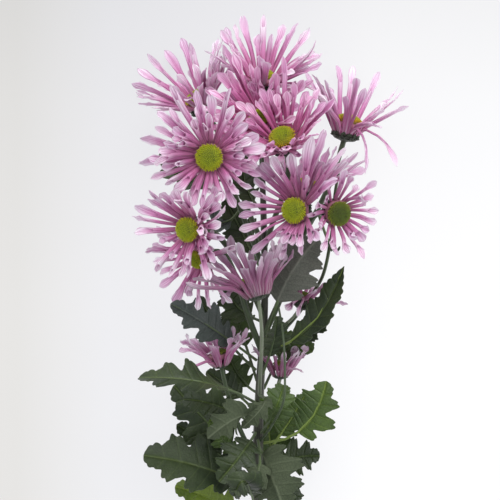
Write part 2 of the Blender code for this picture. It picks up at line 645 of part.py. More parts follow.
def leaf_blade(leaf):
    """A lobed leaf with its stalk: an arched sheet of triangles, fanned out from the midrib and given a thickness."""
    outline = leaf_outline(leaf)
    fans = [k for _, _, k in outline]
    ribs = [0.0, leaf.stalk, *(leaf.stalk + t * (1 - leaf.stalk) for t in MIDRIB), 1.0]
    spots = [(t, 0.0) for t in ribs]
    triangles = []
    for sign in (1, -1):
        edge = [*range(len(spots), len(spots) + len(outline)), len(ribs) - 1]
        spots += [(t, sign * w) for t, w, _ in outline]
        half = [(a, b, k) for a, b, k in zip(edge, edge[1:], fans, strict=False)]
        half += [(k, b, n) for b, k, n in zip(edge[1:], fans, fans[1:], strict=False) if n != k]
        triangles += [t[::sign] for t in half]
    leaf_object = solid(f"leaf_{leaf.name}", leaf_points(leaf, *zip(*spots, strict=True)), triangles, "leaf_green")
    thickness = leaf_object.modifiers.new("thickness", "SOLIDIFY")
    thickness.thickness = LEAF_THICK * MM
    thickness.offset = 0
    return leaf_object


def leaf_balls(leaf):
    """Balls over a leaf's blade and stalk, from a little way along the stalk."""
    outline = leaf_outline(leaf)
    spots = []
    for share in np.linspace(0.06, 1, 22):
        half = np.interp(share, [t for t, w, _ in outline], [w for t, w, _ in outline])
        half = max(half, 0.55) if leaf.stalk + 0.04 < share < 0.92 else half
        count = max(1, int(2 * half * leaf.half_width / 2.5) + 1)
        across = np.linspace(-half, half, count) if count > 1 else [0.0]
        spots += [(share, a) for a in across]
    return leaf_points(leaf, *zip(*spots, strict=True))


def laid_out():
    """The shapes of every head's ray florets, laid clear of the stems, heads, leaves and each other."""
    room = Room()
    path = main_path()
    room.lay(*along_tube(path[:, :3], path[:, 3]), FIXED)
    for number, bloom in enumerate(BLOOMS):
        line, radii = branch_path(bloom)
        room.lay(*along_tube(line, radii), FIXED)
        facing = unit(bloom.facing)
        room.lay(np.array(bloom.seat) - facing, HEAD_BALL * bloom.size, number)
        if bloom.name in OPEN_HEADS:
            room.lay(np.array(bloom.seat) + np.outer(VIEW_ALONG, facing), VIEW_BALL, number)
    for leaf in LEAVES:
        room.lay(leaf_balls(leaf), LEAF_BALL, FIXED)
    laid = [lay_petals(bloom, aimed_shapes(bloom), number, room) for number, bloom in enumerate(BLOOMS)]
    for number, bloom in enumerate(BLOOMS):
        laid[number] += lay_petals(bloom, natural_shapes(bloom), number, room)
    return laid


def centre_on_origin():
    """Moves everything so that the origin lies on the surface, under the middle of the whole spray's box."""
    objects = list(bpy.context.scene.objects)
    corners = np.array([vertex.co for obj in objects for vertex in obj.data.vertices])
    middle = (corners.min(axis=0) + corners.max(axis=0)) / 2
    for obj in objects:
        obj.location = (-middle[0], -middle[1], 0.0)


def build():
    """Makes every solid of the spray."""
    clear_scene()
    stem()
    for leaf in LEAVES:
        leaf_blade(leaf)
    for bloom, shapes in zip(BLOOMS, laid_out(), strict=True):
        bloom_rays(bloom, shapes)
        bloom_disc(bloom)
    centre_on_origin()


build()
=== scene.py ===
"""The looks of a cut spray of quilled chrysanthemum, which lies on a pale surface under a camera that looks down.

The ray florets are laid by the same rule as the solids' own, so that each finished floret, leaf and branch stands
where its solid does. Pieces are modelled in millimetres and put in place in metres.
"""

import itertools
import math
import random
from collections import namedtuple
from contextlib import contextmanager

import bmesh
import bpy
import numpy as np
from mathutils import Matrix, Vector


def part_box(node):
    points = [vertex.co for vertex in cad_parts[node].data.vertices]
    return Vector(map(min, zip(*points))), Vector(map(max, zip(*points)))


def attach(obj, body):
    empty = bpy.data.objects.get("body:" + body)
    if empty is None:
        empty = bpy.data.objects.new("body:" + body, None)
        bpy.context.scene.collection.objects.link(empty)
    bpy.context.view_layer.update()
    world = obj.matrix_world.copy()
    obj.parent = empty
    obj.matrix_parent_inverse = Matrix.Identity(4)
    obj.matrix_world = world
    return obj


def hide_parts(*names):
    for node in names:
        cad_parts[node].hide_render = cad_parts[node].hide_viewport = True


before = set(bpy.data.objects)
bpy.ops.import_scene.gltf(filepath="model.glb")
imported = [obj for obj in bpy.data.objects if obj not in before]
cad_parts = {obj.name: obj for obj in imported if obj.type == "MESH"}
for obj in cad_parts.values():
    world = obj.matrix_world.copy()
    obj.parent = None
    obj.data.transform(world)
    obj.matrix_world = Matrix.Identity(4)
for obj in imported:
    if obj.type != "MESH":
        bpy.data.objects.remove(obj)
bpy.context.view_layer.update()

MM = 0.001
# The owner of the balls that stand still while the florets are laid
FIXED = -1

# Stem
STEM_RADIUS = 3.0
STEM_SIDES = 8
STEM_REST = STEM_RADIUS * math.cos(math.pi / STEM_SIDES)
CUT_END = -12.0
MAIN_STEM = (
    (0.0, 50.0, STEM_REST, 3.0),
    (0.0, 105.0, 8.0, 2.9),
    (1.0, 150.0, 16.0, 2.3),
    (3.5, 195.0, 25.0, 1.8),
    (3.0, 240.0, 32.0, 1.6),
    (2.0, 266.0, 37.0, 1.4),
)
BRANCH_RADIUS = 1.3
BRANCH_STEPS = 4
BRANCH_START = 1.7
BRANCH_THINNER = 0.8
BRANCH_LEAN = 0.6
BRANCH_LEAN_FULL = 20
BRANCH_EASE = (0.38, 0.36)

# Flower head, at full size: its receptacle, the foot of its cup, and the balls that keep others off it
RIM_RADIUS = 8.2
CORE_LOW = -2.6
CORE_HIGH = 0.9
CUP_FOOT = -8.6
HEAD_BALL = 8.8
VIEW_BALL = 5.5
VIEW_ALONG = (9, 15, 21)

# Ray floret: where it roots, and its half width at shares of its length, a narrow tube that opens into a spoon
ROOT_RADIUS = 6.4
ROOT_HEIGHT = -0.8
SHARES = (0, 0.45, 0.70, 0.79, 0.87, 0.95, 1)
HALF_WIDTHS = (0.7, 1.15, 1.3, 2.0, 2.4, 1.6, 0.3)
# How finely its line is followed, and how late along it the sway and the curl come
LINE_STEPS = 40
SWAY_LATE = 1.5
CURL_LATE = 1.4
# The shares of its length that are kept clear, and how many of them, from its root, may touch others of its head
BALL_SHARES = np.linspace(0.12, 1, 16)
ROOT_BALLS = 5
# How far florets keep from what is laid and from the floor, and how deep they hang at most when they near the floor
CLEAR = 0.5
FLOOR_CLEAR = 0.1
LOW_HALF = 1.2

Bloom = namedtuple("Bloom", "name seat facing reach lift count join spread size skew")
# seat is the middle of the head, facing the way it looks, reach the length of its ray florets, lift the angle of
# the outer ones above the head's plane and spread how much steeper the inner ones stand, join where its branch
# leaves the main stem, along Y, and size its head's share of the full size. skew is the side with longer florets,
# as an angle round the head, and by how much.
BLOOMS = (
    Bloom("a", (-23, 269, 78), (-0.10, -0.20, 0.97), 24, 14, 12, 214, 16, 0.95, (130, 0.2)),
    Bloom("b", (-33, 235, 72), (-0.45, -0.15, 0.88), 21, 24, 11, 190, 16, 0.88, (165, 0.1)),
    Bloom("d", (38, 243, 66), (0.40, -0.25, 0.88), 15, 28, 9, 180, 12, 0.9, (0, 0.0)),
    Bloom("c", (18, 244, 70), (-0.45, -0.05, 0.89), 23, 36, 10, 204, 12, 0.92, (125, 0.2)),
    Bloom("e", (12, 278, 66), (-0.25, 0.58, 0.78), 26, 38, 12, 226, 14, 0.95, (70, 0.1)),
    Bloom("k", (-2, 209, 70), (-0.28, 0.95, -0.14), 23, 38, 10, 148, 14, 1.0, (10, 0.2)),
    Bloom("g", (3, 311, 44), (0.08, 0.88, 0.46), 27, 42, 11, 236, 12, 1.0, (0, 0.0)),
    Bloom("h", (-30, 302, 24), (-0.50, 0.76, 0.38), 30, 44, 12, 226, 12, 1.0, (0, 0.0)),
    Bloom("i", (46, 289, 28), (0.22, 0.96, 0.06), 29, 50, 7, 200, 10, 1.0, (0, 0.0)),
    Bloom("j", (-30, 221, 46), (-0.60, -0.45, 0.66), 22, 22, 12, 172, 18, 0.9, (0, 0.0)),
    Bloom("o", (24, 256, 40), (0.15, 0.97, 0.10), 29, 40, 14, 208, 14, 0.9, (0, 0.0)),
    Bloom("f", (1, 289, 53), (-0.35, 0.38, 0.85), 24, 24, 17, 0, 20, 0.95, (0, 0.0)),
    Bloom("l", (-20, 171, 29), (-0.20, 0.96, 0.10), 18, 40, 7, 112, 14, 0.8, (0, 0.0)),
    Bloom("m", (12, 164, 18), (0.05, 0.99, -0.08), 15, 42, 6, 140, 12, 0.75, (0, 0.0)),
    Bloom("n", (24, 200, 22), (0.40, 0.88, -0.05), 18, 34, 8, 176, 14, 0.75, (0, 0.0)),
)
# Heads that look at the viewer, which no other head's florets cross
OPEN_HEADS = "abcd"
# Florets whose tips the photograph shows, for each head: azimuth, lift, curl and reach
AIMED = {
    "a": (
        (162, 17, -8, 26.5), (146, 38, -22, 24), (136, 23, -8, 25.5), (170, 26, -8, 19), (190, 23, 2, 16.5),
        (212, 26, 2, 17.5), (248, 17, 2, 17.5), (270, 20, 2, 10), (286, 23, 2, 15), (308, 32, -22, 15.5),
        (12, 38, -22, 23.5), (70, 23, 2, 30), (114, 32, -22, 33.5), (96, 29, 2, 27.5), (50, 26, -14, 22),
    ),
    "b": (
        (106, 47, -22, 20), (134, 29, 8, 18.5), (150, 41, -22, 22), (180, 29, 2, 20.5), (202, 35, -8, 10),
        (94, 44, -14, 15.5), (36, 23, 2, 25), (64, 47, -14, 21.5),
    ),
    "d": (
        (84, 32, -8, 15), (50, 35, -14, 18), (56, 38, 2, 13), (34, 32, 8, 13), (10, 41, -14, 14),
        (352, 26, 8, 13.5), (334, 32, 8, 12), (302, 32, 8, 19.5), (286, 35, 2, 13.5), (256, 47, -22, 12.5),
        (302, 38, 2, 11.5), (102, 44, -22, 21),
    ),
    "c": (
        (62, 38, -8, 36.5), (60, 38, -14, 37.5), (80, 44, -8, 25.5), (42, 20, 8, 37), (28, 41, -14, 27.5),
        (114, 35, 8, 23.5), (138, 41, 2, 19), (154, 53, -22, 18), (170, 47, -8, 22.5), (182, 50, -22, 22),
        (216, 62, -50, 23.5), (298, 62, -22, 19.5), (274, 47, 8, 13.5), (240, 44, 2, 9),
        (322, 50, -8, 21.5),
    ),
    "e": (
        (88, 53, -8, 35), (74, 47, 8, 23.5), (64, 56, -22, 20), (14, 59, 8, 27), (16, 41, 8, 29),
        (108, 50, -14, 20.5), (14, 59, -22, 26.5), (352, 50, 8, 24), (130, 44, -8, 18),
        (322, 62, -22, 23.5),
    ),
    "k": (
        (14, 32, 8, 20), (322, 47, -8, 25.5), (306, 65, -22, 28.5), (288, 62, -8, 30.5), (86, 50, 2, 24.5),
        (106, 32, -14, 18.5), (228, 53, -8, 24), (240, 26, -22, 21), (300, 17, -40, 29),
        (264, 56, -8, 23.5), (118, 35, -8, 19),
    ),
    "g": (
        (132, 41, 2, 27.5), (118, 41, 8, 28), (110, 56, -22, 31), (86, 62, -22, 31), (62, 62, -22, 27.5),
        (54, 41, 2, 33), (22, 62, -22, 29), (314, 47, 8, 34.5), (312, 44, 2, 31), (310, 32, -50, 35),
    ),
    "h": (
        (128, 59, -14, 34), (150, 47, 2, 34.5), (170, 56, 8, 35.5), (190, 62, -14, 34), (274, 68, -22, 38),
        (278, 56, -14, 35), (292, 32, 8, 34), (68, 59, -14, 25.5),
    ),
    "i": (
        (294, 65, -8, 37.5), (276, 65, -14, 39), (86, 59, -22, 31.5), (244, 59, 8, 36.5), (206, 59, -8, 31),
        (156, 38, 2, 27), (96, 41, -8, 28.5), (110, 11, -22, 32.5), (52, 47, -8, 27), (60, 17, 8, 28.5),
        (296, 53, -22, 27.5), (106, -4, -75, 43), (128, -1, -60, 39.5),
    ),
    "j": (
        (152, 38, -22, 18.5), (176, 32, -14, 19), (192, 35, -22, 19.5), (206, 32, -8, 21.5),
        (228, 41, -22, 23), (250, 29, -8, 14.5), (236, 38, -14, 18.5), (328, 47, 2, 20),
    ),
    "f": (
        (118, 44, -8, 35.5), (114, 47, -22, 30), (98, 26, 2, 22.5), (116, 32, 8, 16.5), (322, 71, 8, 28),
        (144, 32, -8, 16), (70, 41, -22, 18),
    ),
    "l": (
        (48, 38, -14, 22.5), (316, 41, 2, 16), (302, 44, -8, 16.5), (54, 14, -14, 27), (88, 38, -8, 20),
        (182, 53, -22, 15.5), (112, 50, -22, 21), (124, 44, -22, 18), (292, 38, -8, 14.5),
    ),
    "m": (
        (36, 11, -22, 17), (46, 2, -22, 17), (114, 47, -14, 14.5), (116, 2, -8, 16), (94, 44, -8, 14.5),
        (288, 38, 8, 12),
    ),
    "n": (
        (74, -10, -40, 24.5), (96, 5, -8, 15.5), (270, 56, -14, 18.5), (86, -4, -40, 23.5),
        (68, 32, 2, 17.5),
    ),
}
TERMINAL = "f"
# Florets between those: how much they scatter, in degrees and in shares of their length
AIMED_HEIGHT = -0.5
HEIGHTS = (-1.1, 0.2)
AZIMUTH_SCATTER = 5
LIFT_SCATTER = 6
CURLS = (-26, 10)
INNER_CURL = -6
SWAY_SCATTER = 10
TWIST_SCATTER = 28
INNER_SHORTER = 0.08
LENGTHS = (0.88, 1.08)

# How far a floret may lean to clear what is laid before it: lift, sway and curl in degrees, least first
LEANS = sorted(
    itertools.product((0, 10, -10, 20, -20, 32), (0, 9, -9, 18, -18), (0, 22, -22)),
    key=lambda lean: abs(lean[0]) + abs(lean[1]) + 0.6 * abs(lean[2]),
)
REACHES = (1.0, 0.86, 0.7)
STEEPEST = 64.0
STEEPEST_TIP = 76.0

Leaf = namedtuple("Leaf", "name at elbow tip face half_width stalk")
# at is where the stalk leaves the main stem, along Y, or a branch's name and the share of its length. elbow draws
# the midrib, tip ends it, face is the way the upper side looks, and stalk is the bare share of the length.
LEAVES = (
    Leaf("01", 138, (-9, 142, 44), (-25, 131, 44), (0.2, 0.3, -0.93), 11, 0.24),
    Leaf("02", 170, (12, 205, 50), (30, 231, 47), (0.2, 0.1, -0.97), 15, 0.4),
    Leaf("03", 130, (-9, 120, 30), (-20, 107, 32), (0.0, 0.2, 0.98), 12, 0.2),
    Leaf("04", 122, (6, 113, 30), (13, 94, 34), (0.2, 0.3, -0.93), 18, 0.2),
    Leaf("05", 146, (-26, 160, 56), (-59, 162, 52), (-0.1, 0.85, 0.52), 13, 0.3),
    Leaf("06", 174, (27, 187, 36), (43, 217, 42), (-0.45, 0.35, 0.82), 9.5, 0.24),
    Leaf("07", 168, (-24, 186, 36), (-44, 198, 40), (-0.5, 0.6, 0.62), 12, 0.26),
    Leaf("08", 134, (-20, 146, 36), (-38, 149, 33), (0.0, 0.3, 0.95), 9, 0.3),
    Leaf("09", 124, (24, 134, 26), (35, 158, 30), (-0.3, 0.3, 0.90), 15, 0.42),
    Leaf("10", 96, (-24, 111, 22), (-59, 119, 24), (0.0, 0.55, 0.83), 17, 0.26),
    Leaf("11", 246, (-6, 258, 24), (-8, 277, 22), (0.0, 0.0, 1.0), 9, 0.2),
    Leaf("12", 214, (-9, 236, 16), (-17, 252, 18), (0.0, 0.0, 1.0), 10, 0.2),
    Leaf("13", ("h", 0.5), (-38, 262, 30), (-49, 275, 32), (-0.2, 0.2, 0.96), 8, 0.2),
    Leaf("14", 188, (-10, 195, 15), (-17, 206, 16), (0.0, 0.2, 0.98), 11, 0.2),
    Leaf("15", 112, (-15, 123, 19), (-25, 137, 20), (0.0, 0.1, 0.99), 7, 0.36),
    Leaf("16", 116, (16, 134, 13), (25, 149, 13), (0.0, 0.1, 0.99), 10, 0.3),
    Leaf("17", 98, (7, 116, 3.2), (4, 138, 4), (0.0, 0.0, 1.0), 12, 0.3),
    Leaf("18", 112, (-24, 132, 12), (-44, 154, 13), (-0.2, 0.3, 0.93), 14, 0.24),
    Leaf("19", 108, (18, 115, 10), (33, 116, 8), (0.0, 0.3, 0.95), 11, 0.24),
    Leaf("20", 152, (16, 172, 6), (29, 171, 8), (0.0, 0.3, 0.95), 10, 0.3),
    Leaf("21", 82, (-22, 92, 6), (-44, 99, 3), (0.0, 0.3, 0.95), 13, 0.24),
    Leaf("22", 74, (12, 89, 9), (21, 104, 5), (0.1, 0.1, 0.98), 10, 0.24),
    Leaf("23", 150, (-9, 157, 4), (-17, 172, 4), (0.3, 0.1, 0.95), 10, 0.25),
    Leaf("24", 130, (9, 144, 32), (13, 156, 28), (0.1, 0.3, 0.94), 10, 0.25),
    Leaf("25", 104, (-31, 124, 4), (-43, 132, 4), (-0.2, 0.2, 0.96), 11, 0.25),
    Leaf("26", 84, (-6, 109, 44), (-12, 101, 41), (-0.2, 0.3, 0.93), 9, 0.25),
    Leaf("27", 156, (-11, 187, 4), (-19, 198, 4), (0.1, 0.5, 0.86), 10, 0.25),
    Leaf("28", 161, (8, 179, 37), (9, 192, 52), (0.3, 0.2, 0.93), 8, 0.25),
)
# Small leaves and thin shoots that the solids leave out. A shoot is its middle line and its radius.
SMALL_LEAVES = (
    Leaf("29", 150, (3, 147, 37), (-8, 135, 37), (0.2, 0.3, -0.93), 7, 0.3),
    Leaf("30", 126, (0, 112, 37), (-9, 107, 36), (0.1, 0.3, -0.93), 9, 0.3),
    Leaf("31", ("h", 0.3), (-20, 237, 24), (-22, 252, 26), (-0.3, 0.1, 0.95), 5, 0.2),
    Leaf("32", 176, (24, 181, 20), (37, 191, 22), (-0.2, 0.3, 0.93), 7, 0.3),
    Leaf("33", ("i", 0.55), (38, 226, 28), (42, 227, 30), (-0.2, 0.3, 0.93), 1.6, 0.3),
    Leaf("34", 141, (-13, 151, 10), (-27, 161, 9), (0.0, 0.3, 0.95), 8, 0.3),
    Leaf("35", 162, (-18, 180, 12), (-31, 201, 12), (-0.1, 0.3, 0.95), 8.5, 0.28),
)
SHOOTS = (
    (((41.5, 265, 26.3), (39.5, 252, 25.3), (39, 240, 24), (35, 216, 22), (30, 204, 14), (20, 190, 12), (7, 176, 16),
      (1.5, 168, 19.8)), 0.95),
    (((9.5, 201, 45), (12.4, 183, 46), (13.4, 163, 46), (12.6, 148, 40), (7, 134, 24), (1, 124, 12)), 0.6),
)

# Leaf, as in the solids: the balls that keep florets off it, its fold and waves, and the foot of its stalk
LEAF_BALL = 1.0
LEAF_BALL_SHARES = np.linspace(0.06, 1, 22)
LEAF_BALL_GAP = 2.5
LEAF_BALL_HALF = 0.55
LEAF_BALL_PART = (0.04, 0.92)
LEAF_WAVE = 0.9
LEAF_WAVES = (9, 2.2)
LEAF_FOLD = 0.22
STALK_GAP = 0.75
STALK_HALF = 1.1
STALK_FOOT = 0.5
# Half of a leaf's outline: the share of the blade's length and the share of its half width
LEAF_OUTLINE = (
    (0.04, 0.26), (0.04, 0.60), (0.13, 0.80), (0.24, 0.70), (0.27, 0.46), (0.34, 0.72), (0.42, 1.00), (0.53, 0.94),
    (0.58, 0.74), (0.59, 0.50), (0.68, 0.70), (0.78, 0.64), (0.87, 0.44), (0.94, 0.27),
)

# Where the stem's own coordinates lie in the frame, in metres
STEM_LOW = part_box("stem")[0]
CUT_FACE = [v.co.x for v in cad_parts["stem"].data.vertices if v.co.y < STEM_LOW.y + 0.1 * MM]
ORIGIN = Vector(((min(CUT_FACE) + max(CUT_FACE)) / 2, STEM_LOW.y - CUT_END * MM, 0.0))

# Finished ray floret, by kind: the shares of its length at which its upper side starts to open and is open down to
# its rim, where the waves of its edges start, and rings along it, by their share, half width and half depth
Quill = namedtuple("Quill", "opens open_by wave rings")
QUILL_LENGTH = 28.0
QUILL_SIDES = 12
QUILL_FLUTE = 0.9
QUILL_WALL = 0.2
QUILLS = {
    "spoon": Quill(0.46, 0.82, 0.0, (
        (0, 0.9, 0.7), (0.1, 1.2, 0.95), (0.28, 1.35, 1.1), (0.46, 1.4, 1.05), (0.55, 1.45, 0.95), (0.63, 1.55, 0.85),
        (0.71, 1.75, 0.75), (0.79, 2.0, 0.66), (0.86, 2.25, 0.58), (0.91, 2.05, 0.5), (0.95, 1.5, 0.4),
        (0.982, 0.75, 0.24), (1.0, 0.06, 0.08),
    )),
    "broad": Quill(0.36, 0.76, 1.1, (
        (0, 0.9, 0.7), (0.1, 1.2, 0.95), (0.26, 1.4, 1.05), (0.42, 1.5, 0.95), (0.53, 1.65, 0.88), (0.62, 1.95, 0.8),
        (0.7, 2.3, 0.72), (0.78, 2.6, 0.65), (0.855, 2.65, 0.58), (0.91, 2.35, 0.5), (0.952, 1.65, 0.36),
        (0.982, 0.8, 0.22), (1.0, 0.06, 0.08),
    )),
    "narrow": Quill(0.54, 0.86, 2.3, (
        (0, 0.8, 0.6), (0.12, 1.0, 0.85), (0.34, 1.1, 0.95), (0.54, 1.15, 0.9), (0.64, 1.2, 0.8), (0.73, 1.45, 0.72),
        (0.81, 1.75, 0.64), (0.88, 1.8, 0.56), (0.93, 1.3, 0.46), (0.97, 0.65, 0.3), (1.0, 0.08, 0.08),
    )),
    "rolled": Quill(0.66, 0.98, 3.0, (
        (0, 0.9, 0.7), (0.1, 1.2, 0.95), (0.3, 1.35, 1.1), (0.5, 1.45, 1.1), (0.66, 1.5, 1.0), (0.78, 1.6, 0.85),
        (0.87, 1.6, 0.7), (0.93, 1.3, 0.55), (0.97, 0.8, 0.35), (1.0, 0.1, 0.1),
    )),
    "notched": Quill(0.40, 0.80, 4.4, (
        (0, 0.9, 0.7), (0.1, 1.15, 0.9), (0.28, 1.35, 1.05), (0.46, 1.45, 0.98), (0.57, 1.55, 0.9), (0.66, 1.8, 0.8),
        (0.74, 2.1, 0.7), (0.82, 2.4, 0.62), (0.9, 2.35, 0.55), (0.955, 1.9, 0.45), (1.0, 1.0, 0.3),
    )),
    "paddle": Quill(0.52, 0.82, 5.2, (
        (0, 0.7, 0.6), (0.1, 0.85, 0.75), (0.3, 0.9, 0.8), (0.5, 0.95, 0.82), (0.62, 1.0, 0.78), (0.7, 1.3, 0.72),
        (0.78, 1.85, 0.66), (0.85, 2.2, 0.58), (0.905, 2.0, 0.5), (0.95, 1.4, 0.38), (0.982, 0.7, 0.24),
        (1.0, 0.06, 0.08),
    )),
    "piped": Quill(0.64, 0.90, 0.6, (
        (0, 0.9, 0.7), (0.1, 1.15, 0.95), (0.3, 1.25, 1.05), (0.5, 1.3, 1.05), (0.66, 1.32, 1.0), (0.76, 1.4, 0.9),
        (0.82, 1.75, 0.78), (0.88, 2.05, 0.66), (0.93, 1.9, 0.54), (0.968, 1.3, 0.4), (0.99, 0.65, 0.25),
        (1.0, 0.1, 0.1),
    )),
}
# How high a tube's wall stands before it opens, how deep a notched tip is cut, and how the blades' edges are waved
TUBE_TOP = 1.2
NOTCH = 1.3
RUFFLE = 0.5
RUFFLES = 1.15
RUFFLE_SHIFT = 0.9
RUFFLE_BEFORE = 3
# How a floret varies: its width, the turn of its tip, how far its middle sways and its tip hooks, at most
WIDTHS = (0.88, 1.12)
TIP_TURN = 48
SWAY = 0.9
HOOK = 2.4
GUIDE_STEPS = 24
# Florets that curl down more than this hang, as slim paddles
HANGING = -45
HANGING_WIDTH = 0.75

# What sets a head apart: how often its florets are of each kind of QUILLS, how many fill it, the painted light and
# shade over it, one factor on its florets' colour, how rosy they are, its disc's finish and size, its branch's finish,
# thickness and how far it is drawn straight. Heads that are seen from the side have florets that start lower, at a
# radius and a height with one more place on the way, and a flatter cup, by its width and height.
HeadLook = namedtuple(
    "HeadLook", "kinds fillers shade rosy disc disc_size stalk thick straight roots cup",
    defaults=((5, 3, 2, 2, 1, 2, 0), 7, 1.0, 0.0, "disc", 1.0, "stalk", 1.04, 0.0, None, None),
)
LOW_ROOTS = ((4.6, -6.4), (6.9, -3.4))
FLAT_CUP = (0.72, 0.42)
# shade is painted light and shade: below 1 it darkens heads that lie in shadow, above 1 it brightens a lit head
HEAD_LOOKS = {
    "a": HeadLook(fillers=11),
    "b": HeadLook(),
    "c": HeadLook((5, 3, 1, 0, 2, 2, 0), 4, 0.87),
    "d": HeadLook((2, 0, 1, 0, 0, 9, 0), 2, disc="disc_young"),
    "e": HeadLook((1, 0, 1, 1, 0, 8, 0), 18, rosy=1.0, disc="disc_golden"),
    "f": HeadLook((3, 1, 2, 1, 0, 5, 0), 16, rosy=1.0, disc_size=0.8),
    "g": HeadLook((6, 2, 2, 2, 1, 2, 0), 14, disc_size=0.75),
    "h": HeadLook((6, 2, 2, 2, 1, 2, 0), 10),
    "i": HeadLook((0, 0, 1, 0, 0, 2, 9), shade=1.1, disc="disc_golden", roots=((4.6, -6.4), (7.0, -3.4)),
                  cup=(1.0, 0.62)),
    "j": HeadLook(disc_size=0.8),
    "k": HeadLook((4, 3, 1, 1, 1, 1, 0), shade=0.5, disc="disc_young", disc_size=0.85, stalk="pale_stalk", thick=0.64,
                  straight=0.6, roots=((5.0, -6.6), (7.2, -3.6)), cup=FLAT_CUP),
    "l": HeadLook(shade=0.95, disc="disc_young", disc_size=0.8, thick=0.8, roots=LOW_ROOTS, cup=FLAT_CUP),
    "m": HeadLook(shade=0.62, disc="disc_young", disc_size=0.8, stalk="pale_stalk", thick=0.75, roots=LOW_ROOTS,
                  cup=FLAT_CUP),
    "n": HeadLook(shade=0.78, disc="disc_young", disc_size=0.8, stalk="pale_stalk", thick=0.56),
    "o": HeadLook(fillers=14, disc="disc_golden"),
}

# How much shorter, steeper and more curled the filling florets are than the head's own, and how near they come to
# others, where a negative number lets them press together
FILLER_REACHES = (0.55, 0.92)
FILLER_LIFTS = (0, 20)
FILLER_CURLS = (-30, 16)
FILLER_CLEAR = -0.5
# Florets that cross between the upper heads, as the solids' aimed ones: azimuth, lift, curl and reach
CROSSING = {
    "f": ((138, 48, -30, 26), (152, 36, -20, 27), (160, 52, -34, 24), (176, 40, -26, 24), (128, 60, -20, 24),
          (196, 44, -40, 22), (84, 50, -30, 22), (30, 40, -30, 22)),
    "h": ((340, 50, -20, 22), (10, 40, -30, 20), (30, 55, -20, 24), (356, 62, -30, 26)),
    "a": ((84, 44, -30, 20), (40, 40, -34, 20), (24, 50, -40, 18)),
    "e": ((150, 50, -36, 20), (166, 40, -30, 18), (120, 60, -40, 22), (40, 62, -34, 22)),
}
# Florets that tangle where the upper heads meet: the azimuths that they start between, and how many
TANGLED = {"f": (185, 350, 12), "h": (-40, 60, 8), "a": (85, 200, 9), "b": (5, 85, 6)}
TANGLED_LIFTS = (30, 68)
TANGLED_CURLS = (-64, 46)
TANGLED_SWAYS = (-48, 48)
TANGLED_TWISTS = (-80, 80)
TANGLED_REACHES = (15, 24)
TANGLED_CLEAR = -1.3

# Receptacle, disc and cup of bracts, drawn upward: rows of a height and a radius
CORE_ROWS = ((CORE_LOW, 5.4), (-1.4, 6.9), (0.2, 7.0), (CORE_HIGH, 6.4))
CUP_ROWS = ((CUP_FOOT, 1.4), (-7.9, 2.4), (-6.6, 4.4), (-5.0, 5.7), (-3.6, 6.1), (-2.7, 5.6))
# The disc's dome, and the buds over it in spirals by the golden angle
DOME_LOW = CORE_HIGH + 0.3
DOME_RADIUS = 6.4
DOME_RISE = 3.9
DOME_FULL = 0.93
BUDS = 230
BUD_ANGLE = 137.508
# One bud: the radii of its foot and its mouth, its height, how high its middle is, and its lip; then how much buds
# vary in size, and their size in the middle of the disc with what they gain towards its rim
BUD_SIDES = 6
BUD_FOOT = 0.43
BUD_MOUTH = 0.30
BUD_HEIGHT = 1.1
BUD_MIDDLE = 0.3
BUD_LIP = 0.12
BUD_SIZES = (0.9, 1.1)
BUD_INNER = 0.82
BUD_GAIN = 0.24
# Bracts: half the width of one in steps along it, and its rows on the cup, each with a count, the height and radius
# where its bracts start, those where they end, and how wide apart they reach
BRACT_HALVES = (0.9, 1.15, 1.2, 1.0, 0.62, 0.12)
BRACT_STEPS = len(BRACT_HALVES) - 1
BRACT_COLUMNS = 4
BRACT_KEEL = 0.22
BRACT_WALL = 0.25
BRACT_ROWS = ((12, -7.6, 2.6, -5.2, 6.0, 6.0), (13, -6.2, 4.6, -3.2, 7.0, 6.6), (14, -5.0, 5.4, -1.7, 7.1, 7.2))
# How a bract bends: how far its middle stands out and drops, how high its tip rises, and how much its turn and its
# end vary
BRACT_OUT = 0.9
BRACT_DROP = 0.3
BRACT_TIP = 1.0
BRACT_TURNS = (-0.08, 0.08)
BRACT_LIFTS = (-0.3, 0.5)
# How much thicker the finished main stem is, and how far it stays above the floor
STEM_THICKER = 1.02
STEM_ABOVE = 0.02

